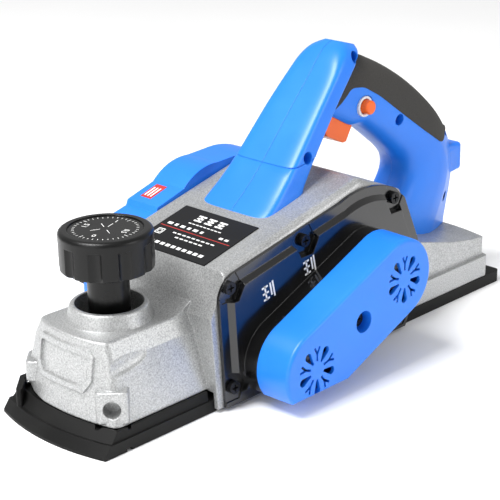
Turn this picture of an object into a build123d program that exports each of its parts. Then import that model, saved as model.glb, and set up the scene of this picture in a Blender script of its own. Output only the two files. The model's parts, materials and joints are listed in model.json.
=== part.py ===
from build123d import *
import math
import os

# Electric hand planer, millimetres.  X runs from the toe (-) to the heel (+), Y from the belt side (-)
# to the motor side (+), Z up.  The origin is the centre of the rear sole's running face.

# ---- overall sizes -----------------------------------------------------------------------------
SOLE_WIDTH = 84.0
REAR_SOLE_LENGTH = 209.0
SHOE_LENGTH = 107.6
HANDLE_HEIGHT = 172.0

# ---- sole and shoe -----------------------------------------------------------------------------
SOLE_THICK = 7.5
SHOE_THICK = 7.0
TOE_SAGITTA = 6.5
TOE_LEAN = 4.0
KERB_TOP_Z = 12.4
EAR_TOP_Z = 17.0
SHOE_LIFT = 2.0
SHOE_WALL = 3.0
SHOE_WALL_TOP = 17.0
MOUTH_BEHIND = 10.1
MOUTH_AHEAD = 13.3
GUIDE_PIN_R = 3.0
GUIDE_PIN_SPAN = 31.0
SLIDE_GAP = 0.4

# ---- cutter drum -------------------------------------------------------------------------------
TIP_R = 23.3
TIP_ABOVE_SOLE = 0.1
DRUM_R = 21.6
DRUM_CLEARANCE = 1.4
DRUM_END_GAP = 1.2
DRUM_SHAFT_R = 5.0
BLADE_THICK = 3.0
BLADE_DEEP = 18.0
BLADE_ANGLE = 28.0
CLAMP_BOLTS = 4

# ---- bearings: outer radius, width, bore radius -------------------------------------------------
DRUM_BEARING = (13.0, 8.0, DRUM_SHAFT_R)
DRUM_END_BEARING = (11.0, 7.0, 4.0)
MOTOR_BEARING = (14.0, 8.0, 6.0)
MOTOR_END_BEARING = (11.0, 7.0, 4.0)
BEARING_RACE = 2.4

# ---- belt drive --------------------------------------------------------------------------------
MOTOR_AHEAD_X = 72.1
MOTOR_Z = 54.0
DRIVE_PULLEY_R = 8.0
DRIVEN_PULLEY_R = 9.7
PULLEY_WIDTH = 12.0
BELT_THICK = 1.9
BELT_WIDTH = 10.0
BELT_RIBS = 4
RIB_DEEP = 1.2
RIB_WIDE = 1.2

# ---- casting -----------------------------------------------------------------------------------
WALL = 4.0
NOSE_WALL = 2.4
NOSE_BOW = 5.5
NEAR_OVERHANG = 3.0
FAR_OVERHANG = 2.0
NOSE_TOP_Z = 54.5
NOSE_TOP_HALF = 26.5
NOSE_BOTTOM_INSET = 3.6
NOSE_BOTTOM_Z = 12.6
NOSE_KNEE_Z = 45.0
NOSE_KNEE_HALF = 31.2
NOSE_ROOF_Z = 40.0
BOSS_BOTTOM_Z = 13.2
BOSS_TOP_Z = 31.0
FAR_BOSS_RISE = 6.0
GUIDE_ROD_R = 4.7
BLOCK_AHEAD = 38.3
TOP_SLOPE = 0.2438
TOP_Z_AT_DRUM = 84.74
CREST_X = 78.0
TAIL_TOP_Z = 32.5
COLLAR_TOP_Z = 62.7
COLLAR_R = 20.8
COLLAR_FLARE = 3.0
COLLAR_BORE_R = 18.4

# ---- depth knob --------------------------------------------------------------------------------
KNOB_AHEAD = 71.9
KNOB_R = 25.0
KNOB_BOTTOM_Z = 82.0
KNOB_TOP_Z = 103.5
KNOB_FLUTES = 10
STEM_R = 11.2
STEM_BOTTOM_Z = 45.0
SPINDLE_R = 6.0
THREAD_CLEARANCE = 0.15
SLEEVE_R = 10.0
SLEEVE_TOP_Z = 42.0

# ---- belt plate and cover ----------------------------------------------------------------------
RIM_THICK = 2.2
PANEL_RISE = 3.0
PANEL_BAND = 5.5
PANEL_TAPER = 40.0
POCKET_R = 9.5
PLINTH_RISE = 9.5
COVER_R = 22.9
COVER_DEPTH = 22.0
COVER_DRAFT = 0.5
COVER_WALL = 2.2
COVER_FLAT_Z = 9.3
ROSETTE_R = 14.0
ROSETTE_SLOTS = 10

# ---- motor -------------------------------------------------------------------------------------
CHAMBER_R = 41.0
FIELD_R = 38.0
FIELD_BORE_R = 22.0
CORE_R = 21.2
COMMUTATOR_R = 12.0
FAN_R = 34.0
MOTOR_COVER_R = 48.0
MOTOR_COVER_DEPTH = 29.0
MOTOR_COVER_WALL = 2.6

# ---- handle ------------------------------------------------------------------------------------
GRIP_HALF = 17.0
GRIP_OUTER_R = 12.0
POST_BASE_HALF = 26.5
POST_TOP_HALF = 12.0
PAD_THICK = 2.0
SHELL = 4.6
SEAM = 0.05
TRIGGER_HALF = 8.0
TRIGGER_TRAVEL = 6.0
BUTTON_R = 4.2
CORD_R = 4.2

# ---- derived places ----------------------------------------------------------------------------
HALF = SOLE_WIDTH / 2
SOLE_FRONT = -REAR_SOLE_LENGTH / 2
SOLE_REAR = REAR_SOLE_LENGTH / 2
DRUM_X = SOLE_FRONT - MOUTH_BEHIND
DRUM_Z = TIP_R + TIP_ABOVE_SOLE
SHOE_REAR = DRUM_X - MOUTH_AHEAD
TOE_X = SHOE_REAR - SHOE_LENGTH
MOTOR_X = DRUM_X + MOTOR_AHEAD_X
KNOB_X = DRUM_X - KNOB_AHEAD
BLOCK_FRONT = DRUM_X - BLOCK_AHEAD
NEAR_Y = -HALF - NEAR_OVERHANG
FAR_Y = HALF + FAR_OVERHANG
RIM_Y = NEAR_Y - RIM_THICK
PANEL_Y = RIM_Y - PANEL_RISE
PLINTH_Y = PANEL_Y - PLINTH_RISE
COVER_Y = PLINTH_Y - COVER_DEPTH
MOTOR_COVER_Y = FAR_Y + MOTOR_COVER_DEPTH
DRUM_HALF = HALF - DRUM_END_GAP
CHAMBER_DRUM_R = TIP_R + DRUM_CLEARANCE
SEAT_Y = NEAR_Y + 2.0
PULLEY_Y = PANEL_Y - 6.0
HANDLE_RISE = HANDLE_HEIGHT - 172.0


def fore(distance):
    """X of a place set out from the drum axis."""
    return DRUM_X + distance


def aft(distance):
    """X of a place set out forward from the heel."""
    return SOLE_REAR - distance


def block(x0, x1, y0, y1, z0, z1):
    """A box between two corners."""
    middle = Pos((x0 + x1) / 2, (y0 + y1) / 2, (z0 + z1) / 2)
    return middle * Box(abs(x1 - x0), abs(y1 - y0), abs(z1 - z0))


def rod(x, z, y0, y1, radius):
    """A round bar along Y."""
    return Pos(x, (y0 + y1) / 2, z) * Rot(90, 0, 0) * Cylinder(radius, abs(y1 - y0))


def pin(x, y, z0, z1, radius):
    """A round bar along Z."""
    return Pos(x, y, (z0 + z1) / 2) * Cylinder(radius, abs(z1 - z0))


def cone_pin(x, y, z0, z1, r0, r1):
    """A tapered round bar along Z, r0 at z0 and r1 at z1."""
    return Pos(x, y, (z0 + z1) / 2) * Cone(r0, r1, abs(z1 - z0))


def side_plate(outline, y0, y1):
    """A plate whose outline lies in XZ, from y0 to y1."""
    face = Plane.XZ * make_face(outline)
    return Pos(0, max(y0, y1), 0) * extrude(face, abs(y1 - y0))


def polygon(points):
    return Polyline(*points, close=True)


def stadium(radius, flat_z):
    """The outline round drum axis and motor axis, cut flat below."""
    low = Pos(DRUM_X, DRUM_Z) * Circle(radius)
    high = Pos(MOTOR_X, MOTOR_Z) * Circle(radius)
    along = math.atan2(MOTOR_Z - DRUM_Z, MOTOR_X - DRUM_X)
    middle = Pos((DRUM_X + MOTOR_X) / 2, (DRUM_Z + MOTOR_Z) / 2)
    web = middle * Rot(0, 0, math.degrees(along)) * Rectangle(axis_distance(), 2 * radius)
    floor = Pos(DRUM_X, flat_z - 50) * Rectangle(400, 100)
    return low + high + web - floor


def axis_distance():
    return math.hypot(MOTOR_X - DRUM_X, MOTOR_Z - DRUM_Z)


def top_z(x):
    """Height of the casting's sloping top over x, ahead of its crest."""
    return TOP_Z_AT_DRUM + TOP_SLOPE * (x - DRUM_X)


def crest_z():
    return top_z(fore(CREST_X))


# ---- casting -----------------------------------------------------------------------------------
def nose_section(z, front, half, curve):
    """One level of the nose: square at the back, bowed at the front."""
    back = BLOCK_FRONT + 4
    corner = front + curve
    side = Line((back, -half), (corner, -half))
    bow = ThreePointArc((corner, -half), (front, 0), (corner, half))
    rest = Polyline((corner, half), (back, half), (back, -half))
    return Pos(0, 0, z) * make_face(side + bow + rest)


def nose_front(z):
    """X of the nose's outer face at a height, on the centre line."""
    return TOE_X + 12.4 + 5.5 * (z - NOSE_BOTTOM_Z) / (NOSE_TOP_Z - NOSE_BOTTOM_Z)


def nose_half(z):
    """Half the nose's outer width at a height: steep up to the knee, flatter above it."""
    if z < NOSE_KNEE_Z:
        low = HALF - NOSE_BOTTOM_INSET
        return low + (NOSE_KNEE_HALF - low) * (z - NOSE_BOTTOM_Z) / (NOSE_KNEE_Z - NOSE_BOTTOM_Z)
    return NOSE_KNEE_HALF + (NOSE_TOP_HALF - NOSE_KNEE_HALF) * (z - NOSE_KNEE_Z) / (NOSE_TOP_Z - NOSE_KNEE_Z)


def nose_core(inset, z0, z1):
    """The nose between two levels, drawn in by an inset."""
    heights = (z0, NOSE_KNEE_Z, z1) if z1 > NOSE_KNEE_Z else (z0, z1)
    levels = [nose_section(z, nose_front(z) + inset, nose_half(z) - inset, NOSE_BOW) for z in heights]
    return loft(levels, ruled=True)


def nose_outer():
    outer = nose_core(0, NOSE_BOTTOM_Z, NOSE_TOP_Z)
    corners = outer.edges().filter_by(lambda e: abs(e.tangent_at(0.5).Z) > 0.5 and e.center().X < TOE_X + 40)
    outer = fillet(corners, 5)
    rim = outer.edges().group_by(Axis.Z)[-1]
    return fillet(rim.sort_by(Axis.X)[:-1], 1.5)


def nose_panel():
    """The raised frame on the nose's front face, with a sunk field inside it."""
    proud = nose_core(-1.3, NOSE_BOTTOM_Z, NOSE_TOP_Z)
    field = nose_core(0.5, NOSE_BOTTOM_Z, NOSE_TOP_Z)
    outer = nose_window(0)
    inner = nose_window(3.2)
    return (proud & outer) - (inner - field)


def nose_window(inset):
    """A prism through the nose's front whose outline is the panel's, drawn in by an inset."""
    half = NOSE_TOP_HALF - 4.5
    top = NOSE_TOP_Z - 4.5
    outline = make_face(polygon([(-half + 5, 27), (half - 5, 27), (half, 34), (half, top - 3),
                                 (half - 4, top),
                                 (-half + 4, top), (-half, top - 3), (-half, 34)]))
    if inset:
        outline = offset(outline, -inset)
    return Pos(TOE_X, 0, 0) * extrude(Plane.YZ * outline, 40)


def side_recess():
    """The dished leaf-shaped recess in each side of the nose, under its knee."""
    leaf_length = 34.0
    leaf_height = 9.5
    rise = 6.0
    dish = Sphere(leaf_length / 2)
    made = []
    for side in (-1, 1):
        middle = Pos(TOE_X + 30, side * (nose_half(42) + 0.6), 42.5)
        lean = Rot(side * 13, 0, 0) * Rot(0, -rise, 0)
        made.append(middle * lean * scale(dish, (1, 5.0 / leaf_length, leaf_height / leaf_length)))
    return made


def boss_frame(side):
    """The frame of a corner boss: X runs inwards from its slanted outer face."""
    return Pos(TOE_X + 24, side * (HALF - 13), 0) * Rot(0, 0, side * -45)


def corner_bosses():
    """The two screw bosses that stand out of the nose's lower corners."""
    bosses = []
    for side in (-1, 1):
        low = BOSS_BOTTOM_Z if side < 0 else BOSS_BOTTOM_Z + FAR_BOSS_RISE
        spot = boss_frame(side) * Pos(0, 0, (low + BOSS_TOP_Z) / 2)
        boss = spot * Box(15.4, 17, BOSS_TOP_Z - low)
        boss = fillet(boss.edges().filter_by(Axis.Z), 3)
        front = boss.faces().sort_by(lambda f: f.center().X)[0]
        bosses.append(fillet(front.edges(), 1.2))
    return bosses


def boss_bore(side, radius, deep):
    return boss_frame(side) * Pos(-16 + (8 + deep) / 2, 0, 21.5) * Rot(0, 90, 0) * Cylinder(radius, 8 + deep)


def far_corner_step():
    """What the nose's lower edge leaves free at its far front corner, where the shoe stands higher."""
    outline = polygon([(14, 0), (15, NOSE_BOTTOM_Z), (25, 14.5), (31, 18),
                       (34, BOSS_BOTTOM_Z + FAR_BOSS_RISE),
                       (HALF, BOSS_BOTTOM_Z + FAR_BOSS_RISE), (HALF, 0)])
    return Pos(TOE_X, 0, 0) * extrude(Plane.YZ * make_face(outline), 34)


def block_outline():
    return polygon([(BLOCK_FRONT, 2), (BLOCK_FRONT - 3.4, NOSE_TOP_Z), (fore(-29.8), top_z(fore(-29.8))),
                    (fore(CREST_X), crest_z()), (fore(115), crest_z() - 16), (fore(129), 54),
                    (fore(121), SOLE_THICK), (SOLE_FRONT, SOLE_THICK), (SOLE_FRONT, 2)])


def tail_block():
    """The low rear end of the casting, rounded behind and hollow below."""
    half = HALF - 3
    front = fore(100)
    rear = aft(8.5)
    plan = Line((front, -half), (rear - 7, -half)) + ThreePointArc(
        (rear - 7, -half), (rear, 0), (rear - 7, half)) + Polyline(
        (rear - 7, half), (front, half), (front, -half))
    side = Polyline((front, 58), (fore(143), 46), (aft(47), 38), (aft(27), 34.5), (aft(0), TAIL_TOP_Z - 0.5),
                    (aft(0), SOLE_THICK), (front, SOLE_THICK), close=True)
    outer = extrude(Pos(0, 0, SOLE_THICK) * make_face(plan), 60) & side_plate(side, -HALF, HALF)
    foot_plan = offset(make_face(plan), 2.6)
    foot = Pos(0, 0, SOLE_THICK) * extrude(foot_plan, 13.5)
    foot = foot & block(front, aft(0.5), -HALF, HALF, 0, 60)
    hollow = extrude(Pos(0, 0, SOLE_THICK - 1) * offset(make_face(plan), -WALL), 60)
    hollow = hollow & side_plate(side, -HALF, HALF).moved(Location((0, 0, -WALL)))
    return outer + foot, hollow - block(front - 30, fore(132), -HALF, HALF, 0, 80)


def ramp_block():
    """The spine that runs down behind the motor and carries the handle's rear leg."""
    half = GRIP_HALF - SHELL - 0.6
    outline = polygon([(fore(100), SOLE_THICK), (fore(100), 80), (fore(148), 60), (fore(150), SOLE_THICK)])
    return side_plate(outline, -half, half)


def main_casting():
    nose_hollow = nose_core(NOSE_WALL, NOSE_BOTTOM_Z - 1, NOSE_ROOF_Z)
    body = nose_outer() + nose_panel() - side_recess() - far_corner_step()
    middle = side_plate(block_outline(), NEAR_Y, FAR_Y)
    long_edges = middle.edges().filter_by(Axis.Y).group_by(Axis.Z)[-1]
    middle = fillet(long_edges, 9)
    rims = middle.edges().filter_by(lambda e: e.center().Z > NOSE_TOP_Z + 14).filter_by(Axis.Y, reverse=True)
    middle = fillet(rims, 5)
    body += middle
    tail, tail_hollow = tail_block()
    body = body + tail + ramp_block()
    crook = (fore(-30), top_z(fore(-30)) - 1)
    curve = ThreePointArc((fore(-54), NOSE_TOP_Z), (fore(-38), NOSE_TOP_Z + 6.5), crook)
    back = Polyline(crook, (fore(-20), NOSE_TOP_Z - 1), (fore(-54), NOSE_TOP_Z - 1),
                    (fore(-54), NOSE_TOP_Z))
    body += side_plate(curve + back, -NOSE_TOP_HALF - 0.5, NOSE_TOP_HALF + 0.5)
    collar = cone_pin(KNOB_X, 0, NOSE_TOP_Z - 2, COLLAR_TOP_Z, COLLAR_R + COLLAR_FLARE, COLLAR_R)
    body += fillet(collar.edges().group_by(Axis.Z)[-1], 1.8)
    body -= nose_hollow
    body += corner_bosses()
    body += pin(KNOB_X, 0, NOSE_BOTTOM_Z + 12, NOSE_TOP_Z, COLLAR_BORE_R + 3)
    body -= pin(KNOB_X, 0, STEM_BOTTOM_Z - SHOE_LIFT - 1, COLLAR_TOP_Z + 1, COLLAR_BORE_R)
    body -= pin(KNOB_X, 0, 0, COLLAR_TOP_Z, SLEEVE_R)
    for side in (-1, 1):
        body -= pin(KNOB_X, side * GUIDE_PIN_SPAN / 2, 0, STEM_BOTTOM_Z - SHOE_LIFT - 3, GUIDE_PIN_R + 0.2)
        body -= boss_bore(side, GUIDE_ROD_R if side < 0 else 2.0, 9)
    body -= shoe_room()
    body -= drum_room()
    body -= tail_hollow
    body -= motor_room()
    body -= block(DRUM_X + 32, MOTOR_X - CHAMBER_R - 3, -HALF + 4, HALF - 4, 0, 30)
    body -= top_pocket()
    body -= chip_channel(0)
    body -= plate_seat()
    for x, z in plate_screw_places():
        body -= rod(x, z, NEAR_Y - 1, NEAR_Y + 12, 1.9)
    for x, y in sole_screw_places():
        body += pin(x, y, SOLE_THICK, SOLE_THICK + 11, 6) & tail_envelope()
        body -= pin(x, y, 0, SOLE_THICK + 9.5, 2.0)
    for x, z in motor_cover_screw_places():
        body -= rod(x, z, FAR_Y - 12, FAR_Y + 1, 1.6)
    body += rod(DRUM_X, DRUM_Z, HALF - 0.5, HALF + 9, DRUM_END_BEARING[0] + 3)
    body -= rod(DRUM_X, DRUM_Z, DRUM_HALF, HALF + 7.5, DRUM_END_BEARING[0])
    body -= name_plate_bed()
    return body


def top_pocket():
    """The hollow under the sloping top, open to the belt side behind the plate."""
    outline = polygon([(fore(-34), 66), (fore(-25), 72.5), (fore(27), 84.5), (fore(27), 66)])
    return side_plate(outline, NEAR_Y - 1, FAR_Y - WALL)


def tail_envelope():
    return block(SOLE_FRONT, SOLE_REAR, -HALF, HALF, SOLE_THICK, 40)


def shoe_room():
    """Space for the shoe to rise between the side walls ahead of the drum."""
    return block(BLOCK_FRONT - 1, DRUM_X + 4, -HALF - 0.4, HALF + 0.4, 0, SHOE_THICK + SHOE_LIFT + 2.5)


def drum_room():
    room = rod(DRUM_X, DRUM_Z, -HALF + 0.5, HALF - 0.5, CHAMBER_DRUM_R)
    under = block(DRUM_X - CHAMBER_DRUM_R, DRUM_X + CHAMBER_DRUM_R, -HALF + 0.5, HALF - 0.5, 0, DRUM_Z)
    wall_hole = rod(DRUM_X, DRUM_Z, NEAR_Y - 1, -HALF + 2, DRUM_BEARING[0] + 4.2)
    return room + under + wall_hole


def motor_room():
    wide = rod(MOTOR_X, MOTOR_Z, NEAR_Y - 1, -9, CHAMBER_R)
    seat = rod(MOTOR_X, MOTOR_Z, -10, 37, FIELD_R)
    far = rod(MOTOR_X, MOTOR_Z, 36, FAR_Y + 1, CHAMBER_R)
    wires = pin(fore(42), 0, crest_z() - 25, crest_z() + 5, 7)
    return wide + seat + far + wires


def chip_channel(grow):
    """The duct that takes the chips from the drum up and out on the motor side."""
    up = block(fore(-30) - grow, fore(-2) + grow, -HALF + 6, MOTOR_COVER_Y + 5, 44 - grow, 61 + grow)
    return up + block(fore(-24), fore(-4), -HALF + 6, HALF - 6, 34, 50)


def name_plate_bed():
    slope = math.degrees(math.atan(TOP_SLOPE))
    middle = Pos(fore(-9), 0, top_z(fore(-9)))
    return middle * Rot(0, -slope, 0) * Box(43.2, 57.6, 0.8)


def name_plate():
    slope = math.degrees(math.atan(TOP_SLOPE))
    middle = Pos(fore(-9), 0, top_z(fore(-9)))
    return middle * Rot(0, -slope, 0) * Box(42.6, 57.0, 0.8)


def plate_seat():
    """Rooms in the casting's near face for the belt plate's two bearing bosses."""
    drum = rod(DRUM_X, DRUM_Z, NEAR_Y - 1, SEAT_Y + 1, DRUM_BEARING[0] + 4)
    motor = rod(MOTOR_X, MOTOR_Z, NEAR_Y - 1, SEAT_Y + 1, MOTOR_BEARING[0] + 4)
    return drum + motor


# ---- places of screws --------------------------------------------------------------------------
def sole_screw_places():
    return [(x, y) for x in (fore(96), aft(24)) for y in (-HALF + 11, HALF - 11)]


def plate_screw_places():
    return [(fore(-30.5), 70.5), (fore(27), 81.0), (fore(103), 86.5), (fore(-29), 13), (fore(110), 12)]


def motor_cover_screw_places():
    return [(fore(-28), 70), (fore(18), 80), (MOTOR_X + 36, MOTOR_Z + 27), (MOTOR_X + 30, MOTOR_Z - 34),
            (fore(-26), 15)]


def handle_screw_places():
    return [(fore(106), 163.0 + HANDLE_RISE), (fore(57.5), 115.5), (aft(73), 118.0 + HANDLE_RISE),
            (aft(20), 99.0), (aft(19), 55.0)]


# ---- sole --------------------------------------------------------------------------------------
def rear_sole():
    plate = block(SOLE_FRONT, SOLE_REAR, -HALF, HALF, 0, SOLE_THICK)
    corners = plate.edges().filter_by(Axis.Z).group_by(Axis.X)[-1]
    plate = fillet(corners, 3)
    plate -= rod(DRUM_X, DRUM_Z, -HALF - 1, HALF + 1, TIP_R + 1.2)
    for x, y in sole_screw_places():
        plate -= pin(x, y, -1, SOLE_THICK + 1, 2.6)
        plate -= cone_pin(x, y, 0, 3.2, 5.4, 2.4)
    return plate


def sole_screws():
    screws = []
    for x, y in sole_screw_places():
        head = cone_pin(x, y, 0.4, 3.2, 4.8, 2.3)
        shank = pin(x, y, 3.0, SOLE_THICK + 9, 1.95)
        slot = block(x - 3.6, x + 3.6, y - 0.6, y + 0.6, 0, 1.6)
        cross = block(x - 0.6, x + 0.6, y - 3.6, y + 3.6, 0, 1.6)
        screws.append(head + shank - slot - cross)
    return screws


def front_shoe():
    toe_corner = TOE_X + TOE_SAGITTA
    plan = Line((SHOE_REAR, -HALF), (toe_corner, -HALF)) + ThreePointArc(
        (toe_corner, -HALF), (TOE_X, 0), (toe_corner, HALF)) + Polyline(
        (toe_corner, HALF), (SHOE_REAR, HALF), (SHOE_REAR, -HALF))
    plate = extrude(make_face(plan), SHOE_THICK)
    toe_edge = plate.edges().filter_by(GeomType.CIRCLE).group_by(Axis.Z)[-1]
    toe_wall = plate.faces().filter_by(GeomType.CYLINDER)[0]
    plate = chamfer(toe_edge, SHOE_THICK - 1.5, TOE_LEAN, reference=toe_wall)
    shoe = plate + shoe_kerb() + shoe_wall()
    shoe += pin(KNOB_X, 0, SHOE_THICK - 1, 15, 14)
    shoe -= pin(KNOB_X, 0, 3, 16, SPINDLE_R + 0.2)
    for side in (-1, 1):
        low = BOSS_BOTTOM_Z - SHOE_LIFT - SLIDE_GAP + (FAR_BOSS_RISE if side > 0 else 0)
        shoe -= boss_frame(side) * Pos(0.5, 0, low + 15) * Box(17.4, 18.4, 30)
        shoe += pin(KNOB_X, side * GUIDE_PIN_SPAN / 2, SHOE_THICK - 1, NOSE_BOTTOM_Z + 6, GUIDE_PIN_R + 3)
        shoe -= pin(KNOB_X, side * GUIDE_PIN_SPAN / 2, 3, NOSE_BOTTOM_Z + 9, GUIDE_PIN_R)
    for lift in (0, SHOE_LIFT):
        shoe -= rod(DRUM_X, DRUM_Z - lift, -HALF - 1, HALF + 1, TIP_R + 0.9)
    shoe -= block(TOE_X + 21, TOE_X + 24.5, -HALF - 1, HALF + 1, -1, 1.5)
    return shoe


def shoe_kerb():
    """The kerb round the nose's foot: a ramp up from the toe, a low wall along the sides."""
    foot = nose_section(SHOE_THICK - 0.5, TOE_X + TOE_LEAN + 1.2, HALF - 1.0, TOE_SAGITTA)
    top = nose_section(KERB_TOP_Z, nose_front(KERB_TOP_Z) - SLIDE_GAP - 0.8,
                       nose_half(KERB_TOP_Z) + SLIDE_GAP + 1.4,
                       NOSE_BOW)
    kerb = loft([foot, top], ruled=True)
    ear_z = (SHOE_THICK + EAR_TOP_Z) / 2
    ear = boss_frame(1) * Pos(-11.2, -1.5, ear_z) * Box(3.4, 22, EAR_TOP_Z - SHOE_THICK)
    kerb += fillet(ear.edges().filter_by(Axis.Z), 1.2)
    for lift in (0, SHOE_LIFT):
        kerb -= nose_core(-SLIDE_GAP, NOSE_BOTTOM_Z - lift - SLIDE_GAP, NOSE_TOP_Z - 2)
    inside = nose_core(NOSE_WALL + SLIDE_GAP + SHOE_WALL, SHOE_THICK, NOSE_TOP_Z)
    behind = block(BLOCK_FRONT - 3, BLOCK_FRONT + 20, -HALF, HALF, SHOE_THICK, 40)
    return (kerb & block(TOE_X, BLOCK_FRONT, -HALF, HALF, SHOE_THICK - 0.5, EAR_TOP_Z)) - inside - behind


def shoe_wall():
    """The wall that stands on the shoe and slides up inside the nose."""
    inset = NOSE_WALL + SLIDE_GAP
    levels = []
    for grow in (inset, inset + SHOE_WALL):
        sections = [nose_section(z, nose_front(z + SHOE_LIFT) + grow,
                                 nose_half(z + SHOE_LIFT) - grow, NOSE_BOW)
                    for z in (SHOE_THICK - 0.5, SHOE_WALL_TOP)]
        levels.append(loft(sections))
    behind = block(BLOCK_FRONT - 3, BLOCK_FRONT + 20, -HALF, HALF, SHOE_THICK, 40)
    return levels[0] - levels[1] - behind


def guide_pins():
    return [pin(KNOB_X, side * GUIDE_PIN_SPAN / 2, 3.5, STEM_BOTTOM_Z - 2 * SHOE_LIFT - 4, GUIDE_PIN_R)
            for side in (-1, 1)]


# ---- depth knob --------------------------------------------------------------------------------
def depth_knob():
    head = pin(KNOB_X, 0, KNOB_BOTTOM_Z, KNOB_TOP_Z, KNOB_R)
    head = fillet(head.edges().group_by(Axis.Z)[-1], 2.5)
    head = fillet(head.edges().group_by(Axis.Z)[0], 1.5)
    for k in range(KNOB_FLUTES):
        turn = 2 * math.pi * k / KNOB_FLUTES
        reach = KNOB_R + 2.6
        x = KNOB_X + reach * math.cos(turn)
        y = reach * math.sin(turn)
        head -= pin(x, y, KNOB_BOTTOM_Z - 1, KNOB_TOP_Z - 6, 4.6)
    head -= pin(KNOB_X, 0, KNOB_TOP_Z - 1.6, KNOB_TOP_Z + 1, KNOB_R - 5)
    head -= pin(KNOB_X, 0, KNOB_BOTTOM_Z - 1, KNOB_TOP_Z - 6, KNOB_R - 7.5)
    stem = pin(KNOB_X, 0, STEM_BOTTOM_Z, KNOB_TOP_Z - 4, STEM_R)
    return head + stem - pin(KNOB_X, 0, 0, KNOB_TOP_Z - 5, SPINDLE_R)


def knob_dial():
    dial = pin(KNOB_X, 0, KNOB_TOP_Z - 1.6, KNOB_TOP_Z - 0.5, KNOB_R - 5.1)
    return dial


def knob_spindle():
    """The threaded spindle pressed into the knob; its lower end carries the shoe."""
    shaft = pin(KNOB_X, 0, 3.6, KNOB_TOP_Z - 6, SPINDLE_R)
    return shaft


def guide_sleeve():
    """The threaded bush in the casting that the spindle screws through."""
    sleeve = pin(KNOB_X, 0, 26, SLEEVE_TOP_Z, SLEEVE_R)
    return sleeve - pin(KNOB_X, 0, 0, SLEEVE_TOP_Z + 1, SPINDLE_R + THREAD_CLEARANCE)


def shoe_spring():
    """The spring round the spindle that takes up the shoe's play, as one closed tube."""
    outer = pin(KNOB_X, 0, 15.2, 25.8, SPINDLE_R + 3)
    return outer - pin(KNOB_X, 0, 0, 40, SPINDLE_R + 0.8)


# ---- cutter drum -------------------------------------------------------------------------------
def blade_frame(side):
    """The frame of a blade: X from the cutting edge into the drum, Z out of its face."""
    flip = 0 if side > 0 else 180
    return Pos(DRUM_X, 0, DRUM_Z) * Rot(0, flip, 0) * Pos(0, 0, TIP_R - 0.1) * Rot(0, 90 - BLADE_ANGLE, 0)


def slot_box(side, deep, low, high, half):
    return blade_frame(side) * Pos(deep / 2, 0, (low + high) / 2) * Box(deep, 2 * half, high - low)


def cutter_drum():
    drum = rod(DRUM_X, DRUM_Z, -DRUM_HALF, DRUM_HALF, DRUM_R)
    near = rod(DRUM_X, DRUM_Z, PULLEY_Y - PULLEY_WIDTH - 8, -DRUM_HALF, DRUM_SHAFT_R)
    far = rod(DRUM_X, DRUM_Z, DRUM_HALF, HALF + 6.5, DRUM_END_BEARING[2])
    drum = drum + near + far
    for side in (-1, 1):
        drum -= slot_box(side, BLADE_DEEP, 0, 40, DRUM_HALF + 1) & rod(DRUM_X, DRUM_Z, -HALF, HALF, TIP_R + 2)
        for y in bolt_ys():
            drum -= blade_frame(side) * Pos(BLADE_DEEP / 2 + 2, y, -4) * Cylinder(2.0, 10)
    return drum


def bolt_ys():
    step = 2 * DRUM_HALF / CLAMP_BOLTS
    return [-DRUM_HALF + step * (k + 0.5) for k in range(CLAMP_BOLTS)]


def blades():
    made = []
    for side in (-1, 1):
        blade = blade_frame(side) * Pos(BLADE_DEEP / 2 - 0.2, 0, BLADE_THICK / 2 + 0.05)
        blade = blade * Box(BLADE_DEEP - 0.6, 2 * DRUM_HALF - 0.4, BLADE_THICK)
        blade = blade & rod(DRUM_X, DRUM_Z, -HALF, HALF, TIP_R)
        for y in bolt_ys():
            blade -= blade_frame(side) * Pos(BLADE_DEEP / 2 + 2, y, 0) * Cylinder(2.3, 20)
        made.append(blade)
    return made


def blade_clamps():
    made = []
    for side in (-1, 1):
        low = BLADE_THICK + 0.1
        clamp = slot_box(side, BLADE_DEEP - 0.6, low, 30, DRUM_HALF - 0.3)
        clamp = clamp & rod(DRUM_X, DRUM_Z, -HALF, HALF, DRUM_R - 0.1)
        for y in bolt_ys():
            clamp -= blade_frame(side) * Pos(BLADE_DEEP / 2 + 2, y, 0) * Cylinder(2.3, 40)
            clamp -= blade_frame(side) * Pos(BLADE_DEEP / 2 + 2, y, 20 + low + 1.6) * Cylinder(4.4, 40)
        made.append(clamp)
    return made


def clamp_bolts():
    made = []
    for side in (-1, 1):
        for y in bolt_ys():
            frame = blade_frame(side) * Pos(BLADE_DEEP / 2 + 2, y, 0)
            low = BLADE_THICK + 0.1 + 1.6
            shank = frame * Pos(0, 0, (low - 7) / 2) * Cylinder(1.95, low + 7)
            head = frame * Pos(0, 0, low + 1.4) * extrude(RegularPolygon(3.8, 6), 1.4, both=True)
            made.append(shank + head)
    return made


def pulley(x, z, radius, bore):
    body = rod(x, z, PULLEY_Y - PULLEY_WIDTH, PULLEY_Y, radius)
    for flange in (PULLEY_Y - PULLEY_WIDTH, PULLEY_Y - 1):
        body += rod(x, z, flange, flange + 1, radius + 1.6)
    for y in rib_ys():
        ring = rod(x, z, y - RIB_WIDE / 2 - 0.2, y + RIB_WIDE / 2 + 0.2, radius + 1)
        body -= ring - rod(x, z, y - 2, y + 2, radius - RIB_DEEP - 0.2)
    return body - rod(x, z, PULLEY_Y - PULLEY_WIDTH - 1, PULLEY_Y + 1, bore)


def rib_ys():
    middle = PULLEY_Y - PULLEY_WIDTH / 2
    step = BELT_WIDTH / (BELT_RIBS + 1)
    return [middle + step * (k - (BELT_RIBS - 1) / 2) for k in range(BELT_RIBS)]


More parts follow.
